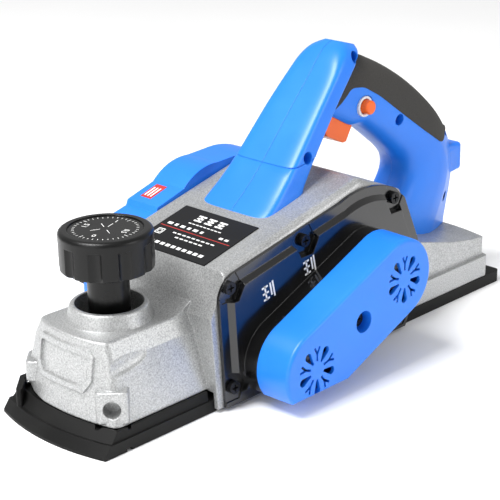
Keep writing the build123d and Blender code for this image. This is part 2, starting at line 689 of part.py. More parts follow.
def belt_loop(drum_r, motor_r):
    """The area inside a loop round both pulleys, in XZ."""
    length = axis_distance()
    tilt = math.degrees(math.atan2(MOTOR_Z - DRUM_Z, MOTOR_X - DRUM_X))
    lean = math.asin((drum_r - motor_r) / length)
    corner = [(drum_r * math.sin(lean), drum_r * math.cos(lean)),
              (length + motor_r * math.sin(lean), motor_r * math.cos(lean))]
    web = make_face(Polyline(corner[0], corner[1], (corner[1][0], -corner[1][1]),
                             (corner[0][0], -corner[0][1]), close=True))
    loop = web + Circle(drum_r) + Pos(length, 0) * Circle(motor_r)
    return Pos(DRUM_X, DRUM_Z) * Rot(0, 0, tilt) * loop


def drive_belt():
    gap = 0.1
    middle = PULLEY_Y - PULLEY_WIDTH / 2
    inner = belt_loop(DRIVEN_PULLEY_R + gap, DRIVE_PULLEY_R + gap)
    outer = belt_loop(DRIVEN_PULLEY_R + gap + BELT_THICK, DRIVE_PULLEY_R + gap + BELT_THICK)
    low = belt_loop(DRIVEN_PULLEY_R + gap - RIB_DEEP, DRIVE_PULLEY_R + gap - RIB_DEEP)
    belt = Pos(0, middle + BELT_WIDTH / 2 - 0.8, 0) * extrude(Plane.XZ * (outer - inner), BELT_WIDTH - 1.6)
    for y in rib_ys():
        belt += Pos(0, y + RIB_WIDE / 2, 0) * extrude(Plane.XZ * (outer - low), RIB_WIDE)
    return belt


def pulley_nut(x, z, bore):
    hexagon = Pos(x, PULLEY_Y - PULLEY_WIDTH, z) * extrude(Plane.XZ * RegularPolygon(bore + 4, 6), 5)
    return hexagon - rod(x, z, PULLEY_Y - PULLEY_WIDTH - 8, PULLEY_Y, bore)


def bearing(x, z, y0, size):
    """A sealed ball bearing as one ring: two races joined by a thinner shield."""
    outer_r, width, bore = size
    outer = rod(x, z, y0, y0 + width, outer_r) - rod(x, z, y0 - 1, y0 + width + 1, outer_r - BEARING_RACE)
    inner = rod(x, z, y0, y0 + width, bore + BEARING_RACE - 0.6) - rod(x, z, y0 - 1, y0 + width + 1, bore)
    shield = rod(x, z, y0 + 0.6, y0 + width - 0.6, outer_r - BEARING_RACE)
    shield -= rod(x, z, y0 - 1, y0 + width + 1, bore + BEARING_RACE - 0.6)
    return outer + shield + inner


# ---- belt plate and cover ----------------------------------------------------------------------
def plate_outline():
    """The outline of the black side plate: upright in front, a long slope, a rounded crest, down behind."""
    front = BLOCK_FRONT + 1
    shoulder = (front + 13, 77.5)
    slope_end = (fore(58), 94.4)
    crest = (fore(80), 98.0)
    crest_end = (fore(106), 91.5)
    heel = (fore(114), 84)
    top = Line((BLOCK_FRONT + 4.4, 2), (front, 64))
    top = top + ThreePointArc((front, 64), (front + 3.6, 72.2), shoulder)
    top = top + Line(shoulder, slope_end) + ThreePointArc(slope_end, crest, crest_end)
    return make_face(top + Polyline(crest_end, heel, (fore(127), 55), (fore(120.2), 10), (fore(116.7), 2),
                                    (BLOCK_FRONT + 4.4, 2)))


def screw_pocket(x, z, y0, y1):
    """The six-sided pocket round a plate screw."""
    return Pos(x, y1, z) * extrude(Plane.XZ * RegularPolygon(POCKET_R, 6), y1 - y0)


def belt_plate():
    rim = Pos(0, NEAR_Y, 0) * extrude(Plane.XZ * plate_outline(), RIM_THICK)
    panel_face = offset(plate_outline(), -PANEL_BAND)
    panel = Pos(0, RIM_Y, 0) * extrude(Plane.XZ * panel_face, PANEL_RISE, taper=PANEL_TAPER)
    plate = rim + panel
    for x, z in plate_screw_places():
        plate -= screw_pocket(x, z, PANEL_Y - 1, RIM_Y + 0.6)
        plate -= rod(x, z, PANEL_Y - 1, NEAR_Y + 1, 2.2)
    plinth = stadium(COVER_R, COVER_FLAT_Z) - stadium(COVER_R - COVER_WALL, COVER_FLAT_Z + COVER_WALL)
    plate += Pos(0, RIM_Y, 0) * extrude(Plane.XZ * plinth, RIM_Y - PLINTH_Y)
    plate -= drum_bore(PANEL_Y - 5, SEAT_Y + 1, DRUM_BEARING[0] + 6)
    boss_drum = drum_bore(PANEL_Y - 3, SEAT_Y, DRUM_BEARING[0] + 1.4)
    boss_drum = boss_drum + drum_bore(PANEL_Y, SEAT_Y, DRUM_BEARING[0] + 4)
    boss_motor = rod(MOTOR_X, MOTOR_Z, PANEL_Y - 3, SEAT_Y, MOTOR_BEARING[0] + 4)
    plate += drum_bore(PANEL_Y, NEAR_Y, DRUM_BEARING[0] + 6)
    plate = plate + boss_drum + boss_motor
    plate = plate - block(DRUM_X - 30, DRUM_X + 30, PLINTH_Y - 5, NEAR_Y + 5, -5, 2)
    plate -= drum_bore(SEAT_Y - DRUM_BEARING[1], SEAT_Y + 1, DRUM_BEARING[0])
    plate -= drum_bore(PANEL_Y - 5, SEAT_Y, DRUM_SHAFT_R + 2)
    plate -= rod(MOTOR_X, MOTOR_Z, SEAT_Y - MOTOR_BEARING[1], SEAT_Y + 1, MOTOR_BEARING[0])
    plate -= rod(MOTOR_X, MOTOR_Z, PANEL_Y - 5, SEAT_Y, MOTOR_BEARING[2] + 2)
    x, z = cover_screw_place()
    plate += rod(x, z, COVER_Y + 9, PANEL_Y + 1, 4.5)
    plate -= rod(x, z, COVER_Y + 8, PANEL_Y + 1, 1.7)
    return plate


def drum_bore(y0, y1, radius):
    return rod(DRUM_X, DRUM_Z, y0, y1, radius)


def cover_screw_place():
    return (DRUM_X + MOTOR_X) / 2 + 1.6, (DRUM_Z + MOTOR_Z) / 2 + 0.7


def belt_cover():
    taper = math.degrees(math.atan(COVER_DRAFT / COVER_DEPTH))
    back = stadium(COVER_R + COVER_DRAFT, COVER_FLAT_Z - COVER_DRAFT)
    shell = Pos(0, PLINTH_Y, 0) * extrude(Plane.XZ * back, COVER_DEPTH, taper=taper)
    front = shell.faces().sort_by(Axis.Y)[0]
    shell = fillet(front.edges(), 2.0)
    room = stadium(COVER_R + COVER_DRAFT - COVER_WALL, COVER_FLAT_Z - COVER_DRAFT + COVER_WALL)
    shell -= Pos(0, PLINTH_Y, 0) * extrude(Plane.XZ * room, COVER_DEPTH - COVER_WALL, taper=taper)
    x, z = cover_screw_place()
    shell += rod(x, z, COVER_Y + 1, COVER_Y + 9, 8.2)
    shell -= rod(x, z, COVER_Y - 1, COVER_Y + 7, 6.2)
    shell -= rod(x, z, COVER_Y - 1, COVER_Y + 10, 2.2)
    for x, z in ((DRUM_X, DRUM_Z), (MOTOR_X, MOTOR_Z)):
        shell -= rosette(x, z)
    return shell


def rosette(x, z):
    """A ring of radial vents: teardrops and forked slots in turn."""
    drop_r = 2.3
    drop = Pos(ROSETTE_R - drop_r, 0) * Circle(drop_r)
    drop_x = ROSETTE_R - drop_r
    drop += make_face(Polyline((5.2, -0.6), (drop_x, -drop_r), (drop_x, drop_r), (5.2, 0.6),
                               close=True))
    fork = Pos(7.6, 0) * Rectangle(4.4, 1.3)
    for lean in (-26, 26):
        fork += Pos(9.4, 0) * Rot(0, 0, lean) * Pos(2.1, 0) * Rectangle(4.6, 1.3)
    vents = [Rot(0, 0, 360 * (k + 0.5) / ROSETTE_SLOTS) * (drop if k % 2 else fork)
             for k in range(ROSETTE_SLOTS)]
    face = Sketch() + vents
    return Pos(x, COVER_Y + COVER_WALL + 1, z) * extrude(Plane.XZ * face, COVER_WALL + 2)


def screw(frame, length, shank_r, head_r, head_h):
    """A pan-head cross screw; its head stands on the frame's origin, its shank runs down -Z."""
    head = frame * Pos(0, 0, head_h / 2) * Cylinder(head_r, head_h)
    shank = frame * Pos(0, 0, -length / 2) * Cylinder(shank_r, length + 0.1)
    body = head + shank
    for turn in (0, 90):
        body -= frame * Rot(0, 0, turn) * Pos(0, 0, head_h) * Box(head_r * 1.2, head_r * 0.26, head_h)
    return body


def facing_near(x, y, z):
    return Pos(x, y, z) * Rot(90, 0, 0)


def facing_far(x, y, z):
    return Pos(x, y, z) * Rot(-90, 0, 0)


# ---- motor -------------------------------------------------------------------------------------
def armature_shaft():
    thick = rod(MOTOR_X, MOTOR_Z, -30, 60, 5.5)
    near = rod(MOTOR_X, MOTOR_Z, SEAT_Y - MOTOR_BEARING[1], -29, MOTOR_BEARING[2])
    tail = rod(MOTOR_X, MOTOR_Z, 59, MOTOR_COVER_Y - 4.5, MOTOR_END_BEARING[2])
    nose = rod(MOTOR_X, MOTOR_Z, PULLEY_Y - PULLEY_WIDTH - 8, SEAT_Y - MOTOR_BEARING[1] + 1, 5)
    return thick + near + tail + nose


def armature_core():
    core = rod(MOTOR_X, MOTOR_Z, -5, 35, CORE_R)
    slots = 12
    for k in range(slots):
        turn = 2 * math.pi * k / slots
        x = MOTOR_X + (CORE_R - 4) * math.cos(turn)
        z = MOTOR_Z + (CORE_R - 4) * math.sin(turn)
        core -= rod(x, z, -6, 36, 2.4)
    return core - rod(MOTOR_X, MOTOR_Z, -6, 36, 5.5)


def armature_windings():
    ends = []
    for y0, y1 in ((-13, -5), (35, 41)):
        ring = rod(MOTOR_X, MOTOR_Z, y0, y1, CORE_R - 2)
        ring = fillet(ring.edges(), 2)
        ends.append(ring - rod(MOTOR_X, MOTOR_Z, y0 - 1, y1 + 1, 5.5))
    return ends


def commutator():
    body = rod(MOTOR_X, MOTOR_Z, 42, 56, COMMUTATOR_R)
    bars = 24
    for k in range(bars):
        turned = Pos(MOTOR_X, 50, MOTOR_Z) * Rot(0, 360 * k / bars, 0)
        body -= turned * Pos(COMMUTATOR_R, 0, 0) * Box(1.6, 20, 0.6)
    return body - rod(MOTOR_X, MOTOR_Z, 41, 57, 5.5)


def cooling_fan():
    disc = rod(MOTOR_X, MOTOR_Z, -17, -15, FAN_R) + rod(MOTOR_X, MOTOR_Z, -27, -15, 9)
    blades_made = 11
    for k in range(blades_made):
        blade = Pos((FAN_R + 10) / 2, 0, 0) * Rot(0, 18, 0) * Box(FAN_R - 13, 9, 1.6)
        disc += Pos(MOTOR_X, -21, MOTOR_Z) * Rot(0, 360 * k / blades_made, 0) * blade
    return disc - rod(MOTOR_X, MOTOR_Z, -30, -10, 5.5)


def field_core():
    ring = rod(MOTOR_X, MOTOR_Z, -5, 35, FIELD_R - 0.1)
    ring -= rod(MOTOR_X, MOTOR_Z, -6, 36, FIELD_BORE_R)
    for side in (-1, 1):
        ring -= block(MOTOR_X - 9, MOTOR_X + 9, -6, 36, MOTOR_Z + side * (FIELD_R - 9),
                      MOTOR_Z + side * FIELD_BORE_R * 0.6)
        for edge in (-1, 1):
            ring -= rod(MOTOR_X + edge * 20, MOTOR_Z + side * 22.5, -6, 36, 4.5)
    return ring


def field_coils():
    coils = []
    for y0, y1 in ((-8.5, -5), (35, 36.8)):
        ring = rod(MOTOR_X, MOTOR_Z, y0, y1, FIELD_R - 5)
        ring -= rod(MOTOR_X, MOTOR_Z, y0 - 1, y1 + 1, FIELD_BORE_R + 2)
        coils.append(ring)
    return coils


def air_baffle():
    ring = rod(MOTOR_X, MOTOR_Z, -13.5, -11.5, CHAMBER_R) - rod(MOTOR_X, MOTOR_Z, -15, -9, FIELD_R - 6)
    return ring


def brush_frame(side):
    return Pos(MOTOR_X, 49, MOTOR_Z) * Rot(0, 90 * side, 0)


def carbon_brushes():
    return [brush_frame(s) * Pos(0, 0, COMMUTATOR_R + 0.2 + 5) * Box(6, 8, 10) for s in (-1, 1)]


def brush_holders():
    made = []
    for s in (-1, 1):
        holder = brush_frame(s) * Pos(0, 0, COMMUTATOR_R + 13.5) * Box(10, 11, 20)
        holder -= brush_frame(s) * Pos(0, 0, COMMUTATOR_R + 12) * Box(6.1, 8.1, 20.8)
        made.append(holder)
    return made


def brush_springs():
    made = []
    for s in (-1, 1):
        tube = brush_frame(s) * Pos(0, 0, COMMUTATOR_R + 0.2 + 10 + 5.9) * Cylinder(2.6, 11.6)
        made.append(tube - brush_frame(s) * Pos(0, 0, COMMUTATOR_R + 16) * Cylinder(1.8, 30))
    return made


def motor_cover_face():
    """The outline of the motor cover in XZ: the round motor end and the low box ahead of it."""
    step = (fore(24), top_z(fore(24)) + 0.5)
    shoulder = (fore(52), MOTOR_Z + MOTOR_COVER_R - 1)
    rise = (fore(34), (step[1] + shoulder[1]) / 2 + 2)
    front = Polyline((fore(30), 5), (fore(-33), 5), (fore(-33), top_z(fore(-33)) - 3.5),
                     (fore(2), top_z(fore(2)) - 3.5), (fore(3.5), top_z(fore(3.5)) - 0.5), step)
    back = Polyline(shoulder, (MOTOR_X, MOTOR_Z + MOTOR_COVER_R),
                    (MOTOR_X, MOTOR_Z - MOTOR_COVER_R + 4), (fore(30), 5))
    box = make_face(front + ThreePointArc(step, rise, shoulder) + back)
    round_end = Pos(MOTOR_X, MOTOR_Z) * Circle(MOTOR_COVER_R)
    return box + round_end - Pos(MOTOR_X, -40) * Rectangle(400, 2 * 45)


def motor_cover():
    face = motor_cover_face()
    shell = Pos(0, MOTOR_COVER_Y, 0) * extrude(Plane.XZ * face, MOTOR_COVER_DEPTH)
    rim = shell.faces().sort_by(Axis.Y)[-1]
    shell = fillet(rim.edges(), 5)
    room = offset(face, -MOTOR_COVER_WALL)
    shell -= Pos(0, MOTOR_COVER_Y - MOTOR_COVER_WALL, 0) * extrude(Plane.XZ * room, MOTOR_COVER_DEPTH)
    proud = face - offset(make_face(block_outline()), -3)
    shell += Pos(0, FAR_Y + MOTOR_COVER_WALL, 0) * extrude(Plane.XZ * proud, MOTOR_COVER_WALL)
    seat = rod(MOTOR_X, MOTOR_Z, MOTOR_COVER_Y - 12, MOTOR_COVER_Y - 1, MOTOR_END_BEARING[0] + 3)
    shell += seat
    shell -= rod(MOTOR_X, MOTOR_Z, MOTOR_COVER_Y - 13, MOTOR_COVER_Y - 3.5, MOTOR_END_BEARING[0])
    for x, z in motor_cover_screw_places():
        shell += rod(x, z, FAR_Y, MOTOR_COVER_Y - 1, 5.0) & Pos(0, MOTOR_COVER_Y, 0) * extrude(
            Plane.XZ * face, MOTOR_COVER_DEPTH)
        shell -= rod(x, z, MOTOR_COVER_Y - 8, MOTOR_COVER_Y + 1, 3.6)
        shell -= rod(x, z, FAR_Y - 1, MOTOR_COVER_Y, 1.9)
    for k in range(7):
        z = MOTOR_Z - 24 + 8 * k
        half = 9 + 2.2 * (3 - abs(k - 3))
        for x in (MOTOR_X - 33, MOTOR_X + 33 - half):
            shell -= block(x, x + half, MOTOR_COVER_Y - 4, MOTOR_COVER_Y + 1, z - 1.5, z + 1.5)
    shell -= chip_channel(2.4) & block(-400, 400, FAR_Y - 1, MOTOR_COVER_Y + 2, 0, 200)
    return shell


def chip_chute():
    """The rectangular spout that carries the chips out through the motor cover."""
    outer = chip_channel(2.2) & block(-400, 400, FAR_Y, MOTOR_COVER_Y + 1.5, 0, 200)
    return outer - (chip_channel(0) & block(-400, 400, FAR_Y - 1, MOTOR_COVER_Y + 3, 0, 200))


# ---- handle ------------------------------------------------------------------------------------
def grip_face():
    """The side view of the grip and its rear leg."""
    top = (fore(114), 163 + HANDLE_RISE)
    knee = (aft(3), 86)
    bulge = (aft(0.5), 74)
    foot = (aft(8), TAIL_TOP_Z + 2.5)
    lip = (fore(118), 42)
    shin = (fore(147), 73)
    elbow = (aft(65), 84)
    palm = (fore(115), 120.5 + HANDLE_RISE)
    nub = (fore(107.5), 118.5 + HANDLE_RISE)
    front = (fore(82.5), 128 + HANDLE_RISE)
    tenon = (fore(104), 157 + HANDLE_RISE)
    middle = ((top[0] + knee[0]) / 2 + 6.6, (top[1] + knee[1]) / 2 + 8.2)
    under = ((palm[0] + elbow[0]) / 2 + 1, (palm[1] + elbow[1]) / 2 + 1.8)
    outline = ThreePointArc(top, middle, knee) + Polyline(knee, bulge, foot, (foot[0], TAIL_TOP_Z - 6),
                                                          (lip[0], TAIL_TOP_Z - 6), lip, shin, elbow)
    outline = outline + ThreePointArc(elbow, under, palm) + Polyline(palm, nub, front, tenon, top)
    return make_face(outline)


def post_face():
    """The side view of the leaning front post."""
    base = top_z(fore(18.7)) - 8
    return make_face(Polyline((fore(18.7), top_z(fore(18.7)) - 1), (fore(96), 165.5 + HANDLE_RISE),
                              (fore(103.5), HANDLE_HEIGHT), (fore(111.5), HANDLE_HEIGHT - 1.5),
                              (fore(116), 164 + HANDLE_RISE), (fore(91), 130.7 + HANDLE_RISE),
                              (fore(75), 109.2), (fore(62.5), top_z(fore(62.5)) - 1),
                              (fore(62.5), base), (fore(18.7), base), close=True))


def grip_solid(inset):
    """The rounded grip, or the same shape drawn in by an inset."""
    face = grip_face()
    if inset:
        face = offset(face, -inset)
    half = GRIP_HALF - inset
    body = Pos(0, half, 0) * extrude(Plane.XZ * face, 2 * half)
    round_edges = body.edges().filter_by(GeomType.CIRCLE).group_by(Axis.Z)[-1]
    body = fillet(round_edges, GRIP_OUTER_R - inset * 0.9)
    return body


def post_solid(inset):
    face = post_face()
    if inset:
        face = offset(face, -inset)
    body = Pos(0, POST_BASE_HALF, 0) * extrude(Plane.XZ * face, 2 * POST_BASE_HALF)
    low = top_z(fore(18.7)) - 10
    base = POST_BASE_HALF - inset
    top = POST_TOP_HALF - inset
    wedge = make_face(Polyline((-base, low - 10), (base, low - 10), (base, low), (top, HANDLE_HEIGHT + 2),
                               (-top, HANDLE_HEIGHT + 2), (-base, low), close=True))
    return body & Pos(-200, 0, 0) * extrude(Plane.YZ * wedge, 400)


def pad_zone():
    """The part of the side view that the soft grip covers."""
    line = [(fore(80), 117 + HANDLE_RISE), (fore(92), 136 + HANDLE_RISE), (fore(100), 145 + HANDLE_RISE),
            (fore(108.5), 145.5 + HANDLE_RISE), (fore(129), 135 + HANDLE_RISE),
            (fore(158), 115.5 + HANDLE_RISE),
            (aft(38), 94), (aft(33), 90.5), (aft(28), 94), (aft(22), 109)]
    rest = [(aft(22), 190), (fore(60), 190)]
    return side_plate(Polyline(*(line + rest), close=True), -GRIP_HALF - 5, GRIP_HALF + 5)


def handle_outer():
    return grip_solid(0) + post_solid(0)


def half_room(side, gap):
    """Everything on one side of the seam."""
    low, high = (-100, -gap) if side < 0 else (gap, 100)
    return block(-400, 400, low, high, -10, 300)


def casting_below():
    """The space under the casting's top, which the handle stands on."""
    top = Polyline((BLOCK_FRONT, top_z(BLOCK_FRONT)), (fore(CREST_X), crest_z()), (fore(115), crest_z() - 16),
                   (fore(115), 0), (BLOCK_FRONT, 0), close=True)
    tail = Polyline((fore(90), 58.6), (fore(143), 46.5), (aft(47), 38.5), (aft(27), 35), (aft(0), TAIL_TOP_Z),
                    (aft(0), 0), (fore(90), 0), close=True)
    spine = polygon([(fore(100), 0), (fore(100), 80.3), (fore(148.3), 60.3), (fore(150.3), 0)])
    width = GRIP_HALF - SHELL - 0.3
    return side_plate(top, -HALF, HALF) + side_plate(tail, -HALF, HALF) + side_plate(spine, -width, width)


def handle_room():
    """The hollow inside both halves of the handle."""
    return grip_solid(SHELL) + post_solid(3.2)


def pads_and_halves(casting):
    outer = handle_outer() - casting_below() - casting
    skin = grip_solid(0) - grip_solid(PAD_THICK) - post_solid(0)
    pads = skin & pad_zone()
    shell = outer - handle_room() - pads
    pieces = {}
    for side, name in ((-1, "left"), (1, "right")):
        pieces["grip_pad_" + name] = pads & half_room(side, SEAM)
        half = shell & half_room(side, SEAM)
        for x, z in handle_screw_places():
            pillar = rod(x, z, 0, side * 30, 4.5) & outer & half_room(side, SEAM)
            half = half + (pillar - pads)
        pieces["handle_" + name] = half
    for x, z in handle_screw_places():
        pieces["handle_left"] -= rod(x, z, -40, -6, 3.6)
        pieces["handle_left"] -= rod(x, z, -40, 1, 1.8)
        pieces["handle_right"] -= rod(x, z, -1, 7, 1.5)
    x, z = button_place()
    pieces["handle_left"] += rod(x, z, -GRIP_HALF - 1.5, -GRIP_HALF + 2, BUTTON_R + 2)
    pieces["handle_left"] -= rod(x, z, -GRIP_HALF - 3, 1, BUTTON_R + 0.3)
    for name in ("handle_left", "handle_right"):
        pieces[name] -= trigger_room()
        pieces[name] -= cord_hole(CORD_R + 3.1)
        pieces[name] -= cord_hole_collar()
    return pieces


def button_place():
    return fore(116), 132.0 + HANDLE_RISE


def lock_button():
    x, z = button_place()
    inner = -GRIP_HALF + SHELL
    cap = rod(x, z, -GRIP_HALF - 3, inner + 0.9, BUTTON_R)
    cap = fillet(cap.edges().group_by(Axis.Y)[0], 1.2)
    return cap + rod(x, z, inner + 0.1, inner + 0.9, BUTTON_R + 1.3)


def trigger_outline(grow):
    rise = HANDLE_RISE
    outline = polygon([(fore(88.5), 132 + rise), (fore(88.5), 121 + rise), (fore(90.5), 118 + rise),
                       (fore(104), 111.3 + rise), (fore(107), 111.5 + rise), (fore(112), 120 + rise),
                       (fore(112), 126 + rise), (fore(104), 126 + rise), (fore(100), 132 + rise)])
    return offset(outline, grow, kind=Kind.INTERSECTION) if grow else outline


def trigger():
    body = side_plate(trigger_outline(0), -TRIGGER_HALF, TRIGGER_HALF)
    low = body.edges().filter_by(Axis.Y).group_by(Axis.Z)[:3]
    return fillet([edge for group in low for edge in group], 1.4)


def trigger_room():
    low = side_plate(trigger_outline(0.5), -TRIGGER_HALF - 0.5, TRIGGER_HALF + 0.5)
    return low + low.moved(Location((0, 0, TRIGGER_TRAVEL)))


def switch_body():
    rise = HANDLE_RISE
    return block(fore(106), fore(130), -5.5, 5.5, 137.2 + rise, 146 + rise)


def trigger_spring():
    x = fore(109.5)
    low = 126 + HANDLE_RISE
    return pin(x, 0, low + 0.1, low + 10.9, 3.2) - pin(x, 0, low - 1, low + 20, 2.2)


def cord_line(length, radius, start):
    """A round bar along the cord's way out of the heel of the handle."""
    return Pos(aft(0.5), 0, 78) * Rot(0, 90, 0) * Pos(0, 0, start - length / 2) * Cylinder(radius, length)


def cord_hole(radius):
    return cord_line(14, radius, 3)


def cord_hole_collar():
    return cord_line(2.4, CORD_R + 4.5, -4.0)


def cord_bush():
    sleeve = cord_line(12, CORD_R + 3.0, 0)
    collar = cord_line(2.2, CORD_R + 4.4, -4.1)
    return sleeve + collar - cord_line(40, CORD_R, 10)


def capacitor():
    box = block(aft(46), aft(36), -8, 8, 92, 106)
    return fillet(box.edges().filter_by(Axis.Y), 1.5)


def main():
    os.makedirs("parts", exist_ok=True)
    casting = main_casting()
    nodes = {
        "main_casting": casting,
        "rear_sole": rear_sole(),
        "rear_sole_screws": sole_screws(),
        "belt_plate": belt_plate(),
        "belt_cover": belt_cover(),
        "drive_belt": drive_belt(),
        "motor_cover": motor_cover(),
        "chip_chute": chip_chute(),
        "name_plate": name_plate(),
        "switch_body": switch_body(),
        "trigger_spring": trigger_spring(),
        "cord_bush": cord_bush(),
        "capacitor": capacitor(),
        "field_core": field_core(),
        "field_coils": field_coils(),
        "air_baffle": air_baffle(),
        "brush_holders": brush_holders(),
        "carbon_brushes": carbon_brushes(),
        "brush_springs": brush_springs(),
        "motor_bearing_near": bearing(MOTOR_X, MOTOR_Z, SEAT_Y - MOTOR_BEARING[1], MOTOR_BEARING),
        "motor_bearing_far": bearing(MOTOR_X, MOTOR_Z, MOTOR_COVER_Y - 3.5 - MOTOR_END_BEARING[1],
                                     MOTOR_END_BEARING),
        "drum_bearing_near": bearing(DRUM_X, DRUM_Z, SEAT_Y - DRUM_BEARING[1], DRUM_BEARING),
        "drum_bearing_far": bearing(DRUM_X, DRUM_Z, HALF + 0.5, DRUM_END_BEARING),
        "guide_sleeve": guide_sleeve(),
        "shoe_spring": shoe_spring(),
        "front_shoe": front_shoe(),
        "shoe_guide_pins": guide_pins(),
        "depth_knob": depth_knob(),
        "knob_dial": knob_dial(),
        "knob_spindle": knob_spindle(),
        "cutter_drum": cutter_drum(),
        "cutter_blades": blades(),
        "blade_clamps": blade_clamps(),
        "clamp_bolts": clamp_bolts(),
        "driven_pulley": pulley(DRUM_X, DRUM_Z, DRIVEN_PULLEY_R, DRUM_SHAFT_R),
        "drum_pulley_nut": pulley_nut(DRUM_X, DRUM_Z, DRUM_SHAFT_R),
        "armature_shaft": armature_shaft(),
        "armature_core": armature_core(),
        "armature_windings": armature_windings(),
        "commutator": commutator(),
        "cooling_fan": cooling_fan(),
        "drive_pulley": pulley(MOTOR_X, MOTOR_Z, DRIVE_PULLEY_R, 5),
        "motor_pulley_nut": pulley_nut(MOTOR_X, MOTOR_Z, 5),
        "trigger": trigger(),
        "lock_button": lock_button(),
    }
    nodes.update(pads_and_halves(casting))
    nodes["belt_plate_screws"] = [screw(facing_near(x, RIM_Y + 0.6, z), 12, 1.9, 3.6, 2.6)
                                  for x, z in plate_screw_places()]
    x, z = cover_screw_place()
    nodes["belt_cover_screw"] = [screw(facing_near(x, COVER_Y + 7, z), 14, 1.7, 4.0, 2.6)]
    nodes["motor_cover_screws"] = [screw(facing_far(x, MOTOR_COVER_Y - 8, z), 30, 1.6, 3.2, 2.4)
                                   for x, z in motor_cover_screw_places()]
    nodes["handle_screws"] = [screw(facing_near(x, -6, z), 12, 1.5, 3.2, 2.2)
                              for x, z in handle_screw_places()]
    nodes["nose_screw"] = [nose_screw()]
    for name, shape in nodes.items():
        write(name, shape)


def nose_screw():
    """The small set screw in the far corner boss."""
    spot = Pos(TOE_X + 24, HALF - 13, 21.5) * Rot(0, 0, -45)
    body = spot * Pos(-4.0, 0, 0) * Rot(0, 90, 0) * Cylinder(1.95, 7)
    return body - spot * Pos(-7.5, 0, 0) * Rot(0, 90, 0) * Box(3, 0.7, 1.2)


def write(name, shape):
    solids = []
    for piece in shape if isinstance(shape, list) else [shape]:
        solids += piece.solids()
    export_step(Compound(children=solids), "parts/" + name + ".step")


if __name__ == "__main__":
    main()
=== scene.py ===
"""Looks of an electric hand planer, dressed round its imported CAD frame.

Every CAD node keeps its place.  This script gives each one a procedural finish, lofts the moulded
handle and its soft grip in the places of their CAD solids, adds the print on the plates, the motor
cover and the dial, and sets the stage, the lights and the camera.  Sizes are in millimetres until a
mesh is finished.
"""

from __future__ import annotations

import json
import logging
import math
from dataclasses import dataclass
from enum import Enum

import bmesh
import bpy
from mathutils import Matrix, Vector

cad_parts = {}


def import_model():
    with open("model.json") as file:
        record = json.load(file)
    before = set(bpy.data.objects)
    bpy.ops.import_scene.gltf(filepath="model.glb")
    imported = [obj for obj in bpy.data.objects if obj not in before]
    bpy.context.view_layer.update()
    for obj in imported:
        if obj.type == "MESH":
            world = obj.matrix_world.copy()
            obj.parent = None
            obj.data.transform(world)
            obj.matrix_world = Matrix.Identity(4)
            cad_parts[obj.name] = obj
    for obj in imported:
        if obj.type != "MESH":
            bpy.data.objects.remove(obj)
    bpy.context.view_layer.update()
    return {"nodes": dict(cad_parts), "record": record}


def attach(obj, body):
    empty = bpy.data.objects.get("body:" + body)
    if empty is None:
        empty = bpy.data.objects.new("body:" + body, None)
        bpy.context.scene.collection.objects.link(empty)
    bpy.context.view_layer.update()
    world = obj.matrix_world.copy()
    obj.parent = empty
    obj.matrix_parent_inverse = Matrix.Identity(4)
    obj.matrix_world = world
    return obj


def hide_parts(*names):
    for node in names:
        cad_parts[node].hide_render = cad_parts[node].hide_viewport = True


LOG = logging.getLogger("hand_planer")
MM = 0.001
Vec = tuple[float, float, float]
Flat = tuple[float, float]

# Parts of the noises' range that the materials stretch over their whole range.
GRAIN_BAND = (0.3, 0.7)
PATCH_BAND = (0.35, 0.65)
WEAR_BAND = (0.35, 0.7)
COAT_ROUGH = 0.12  # Roughness of every clear gloss layer.
EDGE_SAMPLES = 4  # Rays that soften an edge.

STEPS = 4  # Sections that a smooth loft makes for each gap.
TAIL_START = 0.22  # Where a tailed section starts to narrow, as a share of its half depth.
TAIL_SHARE = 0.78  # How much a fully tailed section narrows at its outer point.
RIM_TURN = 1.0  # An edge that turns by more than this, in radians, is a rim.
LEVEL = 0.1  # The ends of an edge in a side face differ by less than this in y.
NEAR_OUT = -40.0  # The y, outside the near side, where cutting bars start.


class Cut(Enum):
    """What a cutting solid does to the piece it is used on."""

    AWAY = "DIFFERENCE"
    ADD = "UNION"
    KEEP = "INTERSECT"


def linear(code: str) -> tuple[float, float, float, float]:
    """Turns an sRGB hex colour into linear RGBA.

    Args:
        code: A colour such as "#46A5FF".

    Returns:
        Red, green, blue and alpha, linear.
    """
    channels = [int(code[k:k + 2], 16) / 255 for k in (1, 3, 5)]
    lin = [c / 12.92 if c <= 0.04045 else ((c + 0.055) / 1.055) ** 2.4 for c in channels]
    return lin[0], lin[1], lin[2], 1.0


def add_node(tree: bpy.types.NodeTree, kind: str, inputs: dict[str | int, object] | None = None,
             **settings: object) -> bpy.types.Node:
    """Adds a shader node with its settings, values and links.

    Args:
        tree: The material's node tree.
        kind: The node's type name without its ShaderNode prefix.
        inputs: Socket name or index to a value, or to an output socket to link from.
        settings: Attributes set on the node itself.

    Returns:
        The new node.
    """
    node = tree.nodes.new("ShaderNode" + kind)
    for name, value in settings.items():
        setattr(node, name, value)
    for name, value in (inputs or {}).items():
        if isinstance(value, bpy.types.NodeSocket):
            tree.links.new(value, node.inputs[name])
        else:
            node.inputs[name].default_value = value
    return node


